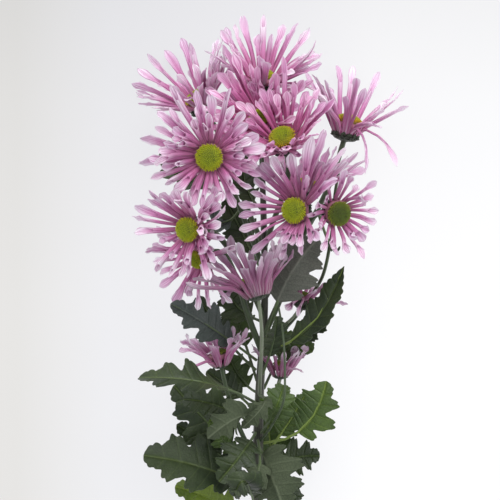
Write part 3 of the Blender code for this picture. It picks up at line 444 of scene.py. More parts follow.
# Leaf blade, before it is bent: rows of points that slant forward from the midrib as the side veins do
BLADE_LENGTH = 50.0
BLADE_HALF = 15.0
BLADE_ROWS = 64
BLADE_COLUMNS = 20
BLADE_SLANT = 0.5
BLADE_WALL = 0.4
BLADE_OUTLINES = {
    "oak": ((0, 0.15), (0.02, 0.42), (0.05, 0.66), (0.085, 0.76), (0.12, 0.74), (0.15, 0.62), (0.175, 0.50),
            (0.20, 0.54), (0.235, 0.78), (0.28, 0.95), (0.33, 1.0), (0.38, 0.95), (0.425, 0.80), (0.455, 0.60),
            (0.48, 0.50), (0.51, 0.54), (0.55, 0.72), (0.60, 0.80), (0.65, 0.76), (0.695, 0.62), (0.73, 0.47),
            (0.76, 0.42), (0.80, 0.44), (0.85, 0.42), (0.90, 0.34), (0.94, 0.24), (0.975, 0.13), (1.0, 0.0)),
    "deep": ((0, 0.12), (0.02, 0.36), (0.05, 0.60), (0.085, 0.70), (0.12, 0.66), (0.15, 0.50), (0.18, 0.36),
             (0.205, 0.40), (0.24, 0.70), (0.285, 0.92), (0.335, 1.0), (0.385, 0.94), (0.425, 0.74), (0.455, 0.50),
             (0.48, 0.38), (0.505, 0.42), (0.55, 0.66), (0.60, 0.78), (0.65, 0.72), (0.69, 0.54), (0.725, 0.38),
             (0.76, 0.34), (0.80, 0.38), (0.85, 0.36), (0.90, 0.29), (0.94, 0.20), (0.975, 0.11), (1.0, 0.0)),
    "slim": ((0, 0.2), (0.04, 0.55), (0.09, 0.70), (0.14, 0.66), (0.19, 0.54), (0.24, 0.72), (0.30, 0.96), (0.36, 1.0),
             (0.42, 0.88), (0.48, 0.66), (0.53, 0.64), (0.59, 0.74), (0.66, 0.68), (0.73, 0.52), (0.80, 0.40),
             (0.87, 0.26), (0.94, 0.12), (1.0, 0.0)),
}
SLIM_LEAVES = ("06",)
TEETH = 11
TOOTH = 0.15
TOOTH_PHASES = ((1, 0.0), (-1, 0.4))
# Its side veins, by their place along the midrib, how wide they are and how deep they and the midrib lie
SIDE_VEINS = (0.05, 0.145, 0.29, 0.42, 0.61, 0.78)
SIDE_VEIN_HALF = 0.013
SIDE_VEIN_DEPTH = 0.8
MIDRIB_HALF = 0.9
VEIN_DEPTH = 0.45
RIB_HEIGHT = -0.2
RIPPLE = 0.35
RIPPLES = 1.1
LEAF_STEPS = 32

# The leaves whose upper side, underside or rib stands out from the others
LEAF_LOOKS = {
    "21": "leaf_yellow",
    # A painted bluish sheen over these leaves' grey-green
    **dict.fromkeys(("07", "31"), "leaf_bluish"),
    **dict.fromkeys(("09", "15", "16", "17"), "leaf_bright"),
    **dict.fromkeys(("20", "23", "24", "27"), "leaf_fresh"),
    # These leaves are darkened as painted shade
    **dict.fromkeys(("10", "19", "22", "25", "26", "34", "35"), "leaf_dark"),
}
GREY_UNDERSIDES = ("02",)
BRIGHT_RIBS = ("06", "09", "16", "17", "21")

# Colours: a disc's middle, edge and rim, a leaf's random dark and light patches, whose dark side is painted shade,
# and its veins, a stem's dark and light streaks, and the pith and rind of the cut face
DISC_COLOURS = {
    "disc": ((0.29, 0.355, 0.013), (0.385, 0.425, 0.017), (0.44, 0.41, 0.027)),
    # A greener disc, darkened as painted shade for heads that lie in shadow
    "disc_young": ((0.095, 0.14, 0.020), (0.145, 0.195, 0.020), (0.25, 0.26, 0.03)),
    "disc_golden": ((0.30, 0.37, 0.015), (0.42, 0.40, 0.02), (0.55, 0.32, 0.02)),
}
LEAF_COLOURS = {
    "leaf": ((0.015, 0.028, 0.010), (0.042, 0.064, 0.020), (0.09, 0.125, 0.036)),
    "leaf_bright": ((0.036, 0.068, 0.014), (0.064, 0.110, 0.020), (0.15, 0.21, 0.042)),
    # The leaf's colours darkened as painted shade
    "leaf_dark": ((0.011, 0.022, 0.007), (0.032, 0.051, 0.0145), (0.075, 0.105, 0.03)),
    "leaf_fresh": ((0.038, 0.068, 0.017), (0.064, 0.108, 0.022), (0.13, 0.19, 0.042)),
    # Grey-green with a bluish sheen painted into the colour
    "leaf_bluish": ((0.036, 0.048, 0.040), (0.068, 0.084, 0.076), (0.12, 0.14, 0.12)),
    "leaf_yellow": ((0.095, 0.15, 0.018), (0.17, 0.24, 0.025), (0.25, 0.32, 0.05)),
}
UNDERSIDE_COLOURS = {
    "leaf_underside": ((0.035, 0.050, 0.021), (0.057, 0.075, 0.036), (0.10, 0.122, 0.07)),
    "grey_underside": ((0.072, 0.078, 0.060), (0.105, 0.110, 0.088), (0.15, 0.158, 0.125)),
}
STEM_COLOURS = {
    "rib": ((0.055, 0.085, 0.032), (0.10, 0.14, 0.055)),
    "bright_rib": ((0.14, 0.20, 0.04), (0.22, 0.30, 0.06)),
    "stalk": ((0.035, 0.055, 0.025), (0.075, 0.105, 0.05)),
    "pale_stalk": ((0.13, 0.16, 0.10), (0.22, 0.25, 0.17)),
    "bract": ((0.016, 0.023, 0.015), (0.045, 0.062, 0.028)),
}
MAIN_STEM_COLOURS = ((0.030, 0.026, 0.022), (0.075, 0.085, 0.055))
CUT_COLOURS = ((0.42, 0.46, 0.27), (0.24, 0.30, 0.13))

# The camera's place in the stem's coordinates, and how wide a view it has at a distance
CAMERA_PLACE = (-4.0, 225.0, 664.0)
LENS_DISTANCE = 620.0
VIEW_WIDTH = 250.0
SENSOR_WIDTH = 36.0


# Layout, as in the solids


def unit(vector):
    """The vector at length 1."""
    vector = np.asarray(vector, float)
    return vector / np.linalg.norm(vector)


def smooth(points, steps):
    """Points along a smooth curve through the given ones, with their radii or any other columns."""
    points = np.asarray(points, float)
    slopes = np.gradient(points, axis=0)
    rows = []
    for i in range(len(points) - 1):
        for t in np.arange(steps) / steps:
            h = (2 * t**3 - 3 * t**2 + 1, t**3 - 2 * t**2 + t, 3 * t**2 - 2 * t**3, t**3 - t**2)
            rows.append(h[0] * points[i] + h[1] * slopes[i] + h[2] * points[i + 1] + h[3] * slopes[i + 1])
    return np.array([*rows, points[-1]])


def main_path():
    """The main stem's middle line and radii, from the cut end to the tip."""
    return np.vstack([(0.0, CUT_END, STEM_REST, STEM_RADIUS), smooth(MAIN_STEM, 3)])


def on_main(y):
    """The main stem's point, direction and radius where it passes Y."""
    path = main_path()
    row = np.array([np.interp(y, path[:, 1], path[:, k]) for k in range(4)])
    step = np.array([np.interp(y + 2, path[:, 1], path[:, k]) for k in range(3)])
    return row[:3], unit(step - row[:3]), row[3]


def head_axes(bloom):
    """Two directions across a head and the way it faces."""
    facing = unit(bloom.facing)
    across = unit(np.cross((0, 1, 0), facing)) if abs(facing[1]) < 0.9 else unit(np.cross((0, 0, 1), facing))
    return across, np.cross(facing, across), facing


def branch_path(bloom):
    """The middle line and radii of the branch that carries a head, from the main stem to the cup's foot."""
    facing = unit(bloom.facing)
    foot = np.array(bloom.seat, float) + facing * (CUP_FOOT * bloom.size + 1.0)
    if bloom.name == TERMINAL:
        start, way, radius = on_main(MAIN_STEM[-1][1] - 1.0)
    else:
        start, way, radius = on_main(bloom.join)
    length = np.linalg.norm(foot - start)
    aside = foot - start - way * ((foot - start) @ way)
    leave = unit(way + BRANCH_LEAN * min(1.0, np.linalg.norm(aside) / BRANCH_LEAN_FULL) * unit(aside))
    corners = (start, start + leave * length * BRANCH_EASE[0], foot - facing * length * BRANCH_EASE[1], foot)
    t = np.linspace(0, 1, BRANCH_STEPS + 1)[:, None]
    weights = ((1 - t) ** 3, 3 * t * (1 - t) ** 2, 3 * t**2 * (1 - t), t**3)
    points = sum(w * np.asarray(c, float) for w, c in zip(weights, corners, strict=True))
    return points, np.linspace(min(radius * BRANCH_THINNER, BRANCH_START), BRANCH_RADIUS, BRANCH_STEPS + 1)


class Room:
    """What is laid so far, as balls: where clearance is read."""

    def __init__(self):
        self.centres = np.zeros((0, 3))
        self.radii = np.zeros(0)
        self.owners = np.zeros(0, int)

    def lay(self, centres, radii, owner):
        """Adds balls that belong to an owner's number."""
        centres = np.atleast_2d(centres)
        self.centres = np.vstack([self.centres, centres])
        self.radii = np.concatenate([self.radii, np.broadcast_to(radii, len(centres))])
        self.owners = np.concatenate([self.owners, np.full(len(centres), owner)])

    def near(self, centre, radius, passing=()):
        """The balls that come within a radius of a point, other than what the passing owners laid."""
        span = np.linalg.norm(self.centres - centre, axis=1)
        kept = (span < radius + self.radii + CLEAR) & ~np.isin(self.owners, passing)
        return self.centres[kept], self.radii[kept]


def touches(centres, radii, laid, clear=CLEAR):
    """For each row of balls, how many come too near to the laid ones or to the floor."""
    laid_centres, laid_radii = laid
    low = np.sum(centres[..., 2] - np.minimum(radii, LOW_HALF) < FLOOR_CLEAR, axis=1)
    square = np.sum(centres**2, axis=2)[..., None] + np.sum(laid_centres**2, axis=1) - 2 * centres @ laid_centres.T
    near = square < (radii[..., None] + laid_radii + clear) ** 2
    return low + np.sum(near.any(axis=2), axis=1)


def along_tube(points, radii, step=1.5):
    """Points and radii at close steps along a path."""
    lengths = np.concatenate([[0], np.cumsum(np.linalg.norm(np.diff(points, axis=0), axis=1))])
    at = np.linspace(0, lengths[-1], max(2, int(lengths[-1] / step)))
    dense = np.stack([np.interp(at, lengths, points[:, k]) for k in range(3)], axis=1)
    return dense, np.interp(at, lengths, radii)


def petal_lines(bloom, shapes, rows):
    """The midlines of ray florets from the head's rim to their tips, a row of points for each shape, with the
    side and upper directions there. A shape is an azimuth, lift, curl, sway, twist, reach and height at the rim."""
    across, over, facing = head_axes(bloom)
    azimuth, lift, curl, sway, twist, reach, height = np.atleast_2d(shapes).T[:, :, None]
    fine = np.linspace(0, 1, LINE_STEPS + 1)
    turn = np.radians(azimuth + sway * fine**SWAY_LATE)[..., None]
    rise = np.radians(lift + curl * fine**CURL_LATE)[..., None]
    out = np.cos(turn) * across + np.sin(turn) * over
    way = np.cos(rise) * out + np.sin(rise) * facing
    start = np.array(bloom.seat, float) + bloom.size * RIM_RADIUS * out[:, 0] + height * facing
    steps = (way[:, 1:] + way[:, :-1]) / 2 * reach[..., None] / LINE_STEPS
    line = start[:, None] + np.concatenate([np.zeros_like(way[:, :1]), np.cumsum(steps, axis=1)], axis=1)
    at = np.clip(np.asarray(rows, float), 0, 1) * LINE_STEPS
    low = np.minimum(at.astype(int), LINE_STEPS - 1)
    part = (at - low)[:, None]
    points, ways, outs = (v[:, low] * (1 - part) + v[:, low + 1] * part for v in (line, way, out))
    sides = np.cross(facing, outs)
    ups = np.cross(ways, sides)
    roll = np.radians(twist * np.clip(rows, 0, 1))[..., None]
    return points, sides * np.cos(roll) + ups * np.sin(roll), ups * np.cos(roll) - sides * np.sin(roll)


def half_width(share):
    """A ray floret's half width at a share of its length."""
    return np.interp(share, SHARES, HALF_WIDTHS)


def aimed_shapes(bloom):
    """The shape of each ray floret of a head that is set by itself."""
    dice = random.Random(f"aimed {bloom.name}")
    return [
        (azimuth, lift, curl, 0.0, dice.uniform(-TWIST_SCATTER, TWIST_SCATTER), reach, AIMED_HEIGHT * bloom.size)
        for azimuth, lift, curl, reach in AIMED.get(bloom.name, ())
    ]


def widest_gaps(taken, count):
    """Angles that fill a round of taken ones, each in the middle of the widest gap that is left."""
    angles = sorted(taken) or [0.0]
    for _ in range(count):
        width, start = max((b - a, a) for a, b in zip(angles, [*angles[1:], angles[0] + 360], strict=True))
        angles = sorted([*angles, start + width / 2])
        yield start + width / 2


def natural_shapes(bloom):
    """The shape that each other ray floret of a head would grow to with nothing in its way, between the set ones."""
    dice = random.Random(f"florets {bloom.name}")
    shapes = []
    for k, middle in enumerate(widest_gaps([row[0] for row in AIMED.get(bloom.name, ())], bloom.count)):
        inner = k % 2
        azimuth = middle + dice.uniform(-AZIMUTH_SCATTER, AZIMUTH_SCATTER)
        longer = 1 + bloom.skew[1] * math.cos(math.radians(azimuth - bloom.skew[0]))
        shapes.append((
            azimuth,
            bloom.lift + inner * bloom.spread + dice.uniform(-LIFT_SCATTER, LIFT_SCATTER),
            dice.uniform(*CURLS) + inner * INNER_CURL,
            dice.uniform(-SWAY_SCATTER, SWAY_SCATTER),
            dice.uniform(-TWIST_SCATTER, TWIST_SCATTER),
            bloom.reach * (1 - INNER_SHORTER * inner) * longer * dice.uniform(*LENGTHS),
            bloom.size * HEIGHTS[inner],
        ))
    return shapes


def lay_petals(bloom, shapes, number, room, clear=CLEAR):
    """Lays ray florets of a head, each at the first lean at which it clears what is laid, or not at all."""
    laid = []
    widths = half_width(BALL_SHARES)
    leans = np.array([(lift, curl, sway, share) for share in REACHES for lift, sway, curl in LEANS])
    for shape in shapes:
        trials = np.repeat(np.array(shape)[None], len(leans), axis=0)
        trials[:, 1:4] += leans[:, :3]
        trials[:, 5] *= leans[:, 3]
        trials[:, 1] = np.minimum(trials[:, 1], STEEPEST)
        trials[:, 2] = np.minimum(trials[:, 2], STEEPEST_TIP - trials[:, 1])
        points = petal_lines(bloom, trials, BALL_SHARES)[0]
        start = points[0, 0]
        others = touches(points, widths[None], room.near(start, shape[5], (number,)), clear) == 0
        own = touches(points[:, ROOT_BALLS:], widths[None, ROOT_BALLS:], room.near(start, shape[5]), clear) == 0
        for free in (others & own, others):
            if free.any():
                chosen = trials[np.argmax(free)]
                room.lay(petal_lines(bloom, chosen, BALL_SHARES)[0][0], widths, number)
                laid.append(chosen)
                break
    return laid


def leaf_start(leaf):
    """Where a leaf's stalk starts, just clear of the stem that carries it."""
    if isinstance(leaf.at, tuple):
        name, share = leaf.at
        line, radii = branch_path(next(b for b in BLOOMS if b.name == name))
        k = share * (len(line) - 1)
        point = np.array([np.interp(k, range(len(line)), line[:, i]) for i in range(3)])
        way, radius = unit(line[min(int(k) + 1, len(line) - 1)] - line[int(k)]), np.interp(k, range(len(line)), radii)
    else:
        point, way, radius = on_main(leaf.at)
    out = np.array(leaf.elbow, float) - point
    return point + unit(out - way * (out @ way)) * (radius + STALK_GAP)


def leaf_line(leaf, share):
    """Points of a leaf's middle line at shares of it, from the stem to its tip, and the way it runs there."""
    start = leaf_start(leaf)
    elbow, tip = np.array(leaf.elbow, float), np.array(leaf.tip, float)
    middle = 2 * elbow - (start + tip) / 2
    points = (1 - share) ** 2 * start + 2 * share * (1 - share) * middle + share**2 * tip
    return points, (1 - share) * (middle - start) + share * (tip - middle)


def leaf_points(leaf, share, across):
    """Points of a leaf's blade: shares along the midrib and signed shares of the half width across it."""
    share, across = np.asarray(share, float)[:, None], np.asarray(across, float)[:, None]
    points, ways = leaf_line(leaf, share)
    sides = np.cross(ways, leaf.face)
    sides /= np.linalg.norm(sides, axis=1)[:, None]
    ups = np.cross(sides, ways / np.linalg.norm(ways, axis=1)[:, None])
    out = across * leaf.half_width
    wave = LEAF_WAVE * np.sin(LEAF_WAVES[0] * share + LEAF_WAVES[1] * across) * np.abs(across)
    return points + out * sides + (LEAF_FOLD * np.abs(out) + wave) * ups


def leaf_outline(leaf):
    """Half of a leaf's outline from the stem end: shares of its whole length, and of its half width there."""
    shares = [0.0, leaf.stalk] + [leaf.stalk + share * (1 - leaf.stalk) for share, _ in LEAF_OUTLINE]
    widths = [STALK_FOOT / leaf.half_width, STALK_HALF / leaf.half_width] + [width for _, width in LEAF_OUTLINE]
    return shares, widths


def leaf_balls(leaf):
    """Balls over a leaf's blade and stalk, from a little way along the stalk."""
    shares, widths = leaf_outline(leaf)
    spots = []
    for share in LEAF_BALL_SHARES:
        half = np.interp(share, shares, widths)
        if leaf.stalk + LEAF_BALL_PART[0] < share < LEAF_BALL_PART[1]:
            half = max(half, LEAF_BALL_HALF)
        count = max(1, int(2 * half * leaf.half_width / LEAF_BALL_GAP) + 1)
        across = np.linspace(-half, half, count) if count > 1 else [0.0]
        spots += [(share, a) for a in across]
    return leaf_points(leaf, *zip(*spots, strict=True))


def laid_out():
    """The shapes of every head's ray florets, laid clear of the stems, heads, leaves and each other, and the room."""
    room = Room()
    path = main_path()
    room.lay(*along_tube(path[:, :3], path[:, 3]), FIXED)
    for number, bloom in enumerate(BLOOMS):
        line, radii = branch_path(bloom)
        room.lay(*along_tube(line, radii), FIXED)
        facing = unit(bloom.facing)
        room.lay(np.array(bloom.seat) - facing, HEAD_BALL * bloom.size, number)
        if bloom.name in OPEN_HEADS:
            room.lay(np.array(bloom.seat) + np.outer(VIEW_ALONG, facing), VIEW_BALL, number)
    for leaf in LEAVES:
        room.lay(leaf_balls(leaf), LEAF_BALL, FIXED)
    laid = [lay_petals(bloom, aimed_shapes(bloom), number, room) for number, bloom in enumerate(BLOOMS)]
    for number, bloom in enumerate(BLOOMS):
        laid[number] += lay_petals(bloom, natural_shapes(bloom), number, room)
    return laid, room


# Modelling


def only(*objects):
    """Selects these objects and nothing else, with the first one active."""
    bpy.ops.object.select_all(action="DESELECT")
    for obj in objects:
        obj.select_set(True)
    bpy.context.view_layer.objects.active = objects[0]


def newest(name):
    """The object that was just added, named, with its turn and place put into its mesh."""
    obj = bpy.context.object
    obj.name = obj.data.name = name
    only(obj)
    bpy.ops.object.transform_apply(location=True, rotation=True, scale=True)
    return obj


@contextmanager
def editing(obj):
    """Edit mode on an object, with nothing selected at first."""
    only(obj)
    bpy.ops.object.mode_set(mode="EDIT")
    bpy.ops.mesh.select_mode(type="VERT")
    bpy.ops.mesh.select_all(action="DESELECT")
    yield
    bpy.ops.object.mode_set(mode="OBJECT")


def choose(obj, test):
    """In edit mode, selects only the points that pass a test."""
    bpy.ops.mesh.select_all(action="DESELECT")
    mesh = bmesh.from_edit_mesh(obj.data)
    for point in mesh.verts:
        point.select = bool(test(point))
    mesh.select_flush_mode()
    bmesh.update_edit_mesh(obj.data)


def finish(obj, kind, **values):
    """Adds a modifier to an object, sets it and applies it."""
    modifier = obj.modifiers.new(kind.lower(), kind)
    for name, value in values.items():
        setattr(modifier, name, value)
    with bpy.context.temp_override(object=obj, active_object=obj):
        bpy.ops.object.modifier_apply(modifier=modifier.name)
    return obj


def copied(obj, name):
    """A copy of an object with its own mesh."""
    made = obj.copy()
    made.data = obj.data.copy()
    made.name = made.data.name = name
    bpy.context.scene.collection.objects.link(made)
    return made


def joined(objects, name):
    """Joins objects into the first one and names it."""
    only(*objects)
    if len(objects) > 1:
        bpy.ops.object.join()
    objects[0].name = objects[0].data.name = name
    return objects[0]


def drawn(name, sides, stations, upright=False, flute=1.0, caps=True):
    """A tube along +X, or +Z upright, by extruding a ring of points. A station is a place along it and two half
    widths, and flute draws every second point of the ring in."""
    axis = Vector((0, 0, 1)) if upright else Vector((1, 0, 0))

    def sized(wide, deep):
        return (wide, deep, 1) if upright else (1, wide, deep)

    along, wide, deep = stations[0]
    turn = (0, 0, 0) if upright else (0, math.pi / 2, 0)
    bpy.ops.mesh.primitive_circle_add(vertices=sides, radius=1, location=axis * along, rotation=turn)
    tube = newest(name)
    with editing(tube):
        choose(tube, lambda point: point.index % 2)
        bpy.ops.transform.resize(value=sized(flute, flute), center_override=axis * along)
        bpy.ops.mesh.select_all(action="SELECT")
        bpy.ops.transform.resize(value=sized(wide, deep), center_override=axis * along)
        if caps:
            bpy.ops.mesh.edge_face_add()
        for place, next_wide, next_deep in stations[1:]:
            bpy.ops.mesh.extrude_region_move(TRANSFORM_OT_translate={"value": axis * (place - along)})
            bpy.ops.transform.resize(value=sized(next_wide / wide, next_deep / deep), center_override=axis * place)
            along, wide, deep = place, next_wide, next_deep
        bpy.ops.mesh.select_all(action="SELECT")
        bpy.ops.mesh.normals_make_consistent(inside=False)
    return tube


def mapped(obj, place):
    """Gives a mesh its own UV map: place turns a point of it into the two values."""
    mesh = obj.data
    layer = mesh.uv_layers.get("UVMap") or mesh.uv_layers.new(name="UVMap")
    spots = np.array([place(point.co) for point in mesh.vertices])
    corners = np.zeros(len(mesh.loops), int)
    mesh.loops.foreach_get("vertex_index", corners)
    layer.data.foreach_set("uv", spots[corners].ravel())
    return obj


def marked(obj, name, values):
    """Gives every point of a mesh a number under a name, the same one or one each."""
    mesh = obj.data
    layer = mesh.attributes.get(name) or mesh.attributes.new(name, "FLOAT", "POINT")
    layer.data.foreach_set("value", np.broadcast_to(np.asarray(values, float), len(mesh.vertices)).copy())
    return obj


def turned(name, sides, rows):
    """A round upright body, by rows of a height and a radius."""
    return drawn(name, sides, [(height, radius, radius) for height, radius in rows], upright=True)


def bent(obj, points, tilts=None, radii=None):
    """Bends an object that lies along +X so that it follows a path of points, with +Z kept as its upper side."""
    curve = bpy.data.curves.new("guide", "CURVE")
    curve.dimensions = "3D"
    curve.twist_mode = "Z_UP"
    curve.use_radius = True
    spline = curve.splines.new("POLY")
    spline.points.add(len(points) - 1)
    for i, spot in enumerate(spline.points):
        spot.co = (*points[i], 1)
        spot.tilt = 0.0 if tilts is None else tilts[i]
        spot.radius = 1.0 if radii is None else radii[i]
    guide = bpy.data.objects.new("guide", curve)
    bpy.context.scene.collection.objects.link(guide)
    finish(obj, "CURVE", object=guide, deform_axis="POS_X")
    bpy.data.objects.remove(guide)
    bpy.data.curves.remove(curve)
    return obj


def path_length(points):
    """The length of a path of points."""
    return float(np.sum(np.linalg.norm(np.diff(points, axis=0), axis=1)))


def seated(obj, axes, place):
    """Puts an object that was modelled in millimetres where it belongs: its three axes and its place, from the
    stem's coordinates into the frame, all of it in its mesh."""
    turn = Matrix.Translation(Vector(place)) @ Matrix([list(row) for row in np.transpose(axes)]).to_4x4()
    obj.data.transform(Matrix.Translation(ORIGIN) @ Matrix.Scale(MM, 4) @ turn)
    return obj


def smooth_shaded(obj, angle=40):
    """Shades an object smooth but for its sharp edges."""
    only(obj)
    bpy.ops.object.shade_smooth_by_angle(angle=math.radians(angle))
    return obj


# Ray florets


def mouth(kind, share):
    """How high a ray floret's wall stands at a share of its length: all round in the tube, its rim in the blade."""
    first, last = QUILLS[kind].opens, QUILLS[kind].open_by
    t = min(1.0, max(0.0, (share - first) / (last - first)))
    return TUBE_TOP - TUBE_TOP * t


def lifted(obj, rise):
    """Moves each point of a mesh up by what rise gives for it."""
    for point in obj.data.vertices:
        point.co.z += rise(point.co)
    return obj


def quill(kind):
    """A ray floret lying along +X: a fluted tube that is cut open on a slant and ends in a pointed blade."""
    stations = [(share * QUILL_LENGTH, wide, deep) for share, wide, deep in QUILLS[kind].rings]
    tube = drawn(f"quill_{kind}", QUILL_SIDES, stations, flute=QUILL_FLUTE, caps=False)
    lifted(tube, lambda spot: -mouth(kind, spot.x / QUILL_LENGTH))
    with editing(tube):
        bpy.ops.mesh.select_all(action="SELECT")
        bpy.ops.mesh.bisect(plane_co=(0, 0, 0.001), plane_no=(0, 0, 1), clear_outer=True, threshold=0.0001)
        if kind == "notched":
            choose(tube, lambda point: point.co.x > QUILL_LENGTH - 0.1 and abs(point.co.y) < 0.4)
            bpy.ops.transform.translate(value=(-NOTCH, 0, 0))
    lifted(tube, lambda spot: mouth(kind, spot.x / QUILL_LENGTH))
    mapped(tube, lambda spot: (spot.x / QUILL_LENGTH, abs(math.atan2(spot.y, -spot.z)) / math.pi))
    last = QUILLS[kind].open_by * QUILL_LENGTH
    lifted(tube, lambda spot: (
        RUFFLE * min(1.0, (spot.y / 2) ** 2) * (spot.x > last - RUFFLE_BEFORE)
        * math.sin(RUFFLES * (spot.x - last) + QUILLS[kind].wave + math.copysign(RUFFLE_SHIFT, spot.y))
    ))
    return finish(tube, "SOLIDIFY", thickness=QUILL_WALL, offset=-1)


def floret(bloom, shape, quills, dice):
    """One ray floret of a head: a quill stretched to its length, bent along its line and set into the head."""
    look = HEAD_LOOKS[bloom.name]
    across, over, facing = head_axes(bloom)
    turn = math.radians(shape[0])
    out = math.cos(turn) * across + math.sin(turn) * over
    axes = np.array([out, np.cross(facing, out), facing])
    starts = look.roots or ((ROOT_RADIUS, ROOT_HEIGHT + shape[6] / 2),)
    seat = np.array(bloom.seat, float)
    starts = [seat + bloom.size * (radius * out + height * facing) for radius, height in starts]
    shares = np.linspace(0, 1, GUIDE_STEPS)
    line, sides, ups = (rows[0] for rows in petal_lines(bloom, shape, shares))
    sway = SWAY * dice.uniform(-1, 1) * np.sin(2 * math.pi * shares) * shares
    hook = HOOK * dice.uniform(-1, 1) * np.clip(3 * shares - 2, 0, 1) ** 2
    line = line + sway[:, None] * sides + hook[:, None] * ups
    points = (np.vstack([*starts, line]) - starts[0]) @ axes.T
    kind = dice.choices(list(QUILLS), look.kinds)[0]
    hangs = shape[2] < HANGING
    made = copied(quills["paddle" if hangs else kind], "floret")
    width = dice.uniform(*WIDTHS) * (0.8 + 0.2 * bloom.size) * (HANGING_WIDTH if hangs else 1)
    flip = dice.choice((1, -1))
    made.data.transform(Matrix.Diagonal((path_length(points) / QUILL_LENGTH, flip * width, width, 1)))
    if flip < 0:
        made.data.flip_normals()
    tip_turn = dice.uniform(-TIP_TURN, TIP_TURN) * np.clip(2 * shares - 1, 0, 1)
    bent(made, points, np.radians(np.concatenate([[0] * len(starts), shape[4] * shares + tip_turn])))
    marked(made, "tint", dice.random())
    return seated(made, axes, starts[0])


def filled_out(laid, room):
    """The shapes of every head's ray florets, with more of them where the laid ones leave room."""
    for number, bloom in enumerate(BLOOMS):
        fuller = bloom._replace(count=bloom.count + HEAD_LOOKS[bloom.name].fillers)
        dice = random.Random(f"fillers {bloom.name}")
        extra = [
            (azimuth, lift + dice.uniform(*FILLER_LIFTS), curl + dice.uniform(*FILLER_CURLS), sway, twist,
             reach * dice.uniform(*FILLER_REACHES), height)
            for azimuth, lift, curl, sway, twist, reach, height in natural_shapes(fuller)[bloom.count:]
        ]
        extra += [
            (azimuth, lift, curl, 0.0, dice.uniform(-TWIST_SCATTER, TWIST_SCATTER), reach, 0.0)
            for azimuth, lift, curl, reach in CROSSING.get(bloom.name, ())
        ]
        laid[number] += lay_petals(bloom, extra, number, room, FILLER_CLEAR)
    for number, bloom in enumerate(BLOOMS):
        first, last, count = TANGLED.get(bloom.name, (0, 0, 0))
        dice = random.Random(f"tangle {bloom.name}")
        spans = ((first, last), TANGLED_LIFTS, TANGLED_CURLS, TANGLED_SWAYS, TANGLED_TWISTS, TANGLED_REACHES, HEIGHTS)
        extra = [tuple(dice.uniform(*span) for span in spans) for _ in range(count)]
        laid[number] += lay_petals(bloom, extra, number, room, TANGLED_CLEAR)
    return laid


def head_of_florets(bloom, shapes, quills):
    """All ray florets of a head, on the receptacle that they grow from."""
    dice = random.Random(f"quills {bloom.name}")
    core = turned("core", 28, CORE_ROWS)
    mapped(core, lambda spot: (0.0, 0.5))
    core.data.transform(Matrix.Scale(bloom.size, 4))
    marked(core, "tint", 0.5)
    seated(core, head_axes(bloom), bloom.seat)
    pieces = [core] + [floret(bloom, shape, quills, dice) for shape in shapes]
    made = joined(pieces, f"florets_{bloom.name}")
    # Each head's painted light and shade, one factor for all its florets
    marked(made, "shade", HEAD_LOOKS[bloom.name].shade)
    marked(made, "rosy", HEAD_LOOKS[bloom.name].rosy)
    made.data.materials.append(MATERIALS["petal"])
    return smooth_shaded(made, 50)


# Disc of small florets


def bud():
    """One disc floret: a small tapered cup with a sunk mouth."""
    bpy.ops.mesh.primitive_cone_add(
        vertices=BUD_SIDES, radius1=BUD_FOOT, radius2=BUD_MOUTH, depth=BUD_HEIGHT, location=(0, 0, BUD_MIDDLE)
    )
    made = newest("bud")
    with editing(made):
        choose(made, lambda point: point.co.z > BUD_MIDDLE)
        bpy.ops.mesh.inset(thickness=BUD_LIP, depth=-BUD_LIP)
    return made


def disc_of_buds():
    """The dome in the middle of a head, with its buds in two sets of spirals."""
    rows = [(DOME_LOW + DOME_RISE * math.sin(t), DOME_RADIUS * math.cos(t)) for t in np.linspace(0, 1.45, 8)]
    dome = turned("dome", 32, rows)
    mapped(dome, lambda spot: (min(1.0, math.hypot(spot.x, spot.y) / DOME_RADIUS), 0.5))
    # tint 0 marks the dome, which the disc's finish darkens as painted shade between the buds
    marked(dome, "tint", 0.0)
    one = bud()
    dice = random.Random("buds")
    pieces = [dome]
    for i in range(BUDS):
        share = math.sqrt((i + 0.5) / BUDS)
        turn = i * math.radians(BUD_ANGLE)
        rise = math.sqrt(1 - DOME_FULL * share**2)
        spot = Vector((DOME_RADIUS * share * math.cos(turn), DOME_RADIUS * share * math.sin(turn), 0))
        normal = Vector((spot.x * 0.6, spot.y * 0.6, DOME_RADIUS * rise)).normalized()
        spot.z = DOME_LOW + DOME_RISE * rise
        made = copied(one, "bud")
        size = dice.uniform(*BUD_SIZES) * (BUD_INNER + BUD_GAIN * share)
        place = Matrix.Translation(spot) @ normal.to_track_quat("Z", "Y").to_matrix().to_4x4()
        made.data.transform(place @ Matrix.Scale(size, 4))
        mapped(made, lambda corner, share=share: (share, 0.5))
        pieces.append(marked(made, "tint", dice.random()))
    bpy.data.objects.remove(one)
    return smooth_shaded(joined(pieces, "disc"), 30)


# Stem, branches and the green cups under the heads


def rod(name, points, radii, sides=12, flute=0.93, step=2.5):
    """A fluted stem in its place along a path, with its radius at each point."""
    length = path_length(points)
    stations = [(place, 1.0, 1.0) for place in np.linspace(0, length, max(3, int(length / step)))]
    made = drawn(name, sides, stations, flute=flute)
    mapped(made, lambda spot: (spot.x, abs(math.atan2(spot.y, -spot.z)) / math.pi))
    marked(made, "tint", 0.0)
    return seated(bent(made, points, radii=radii), np.eye(3), (0, 0, 0))


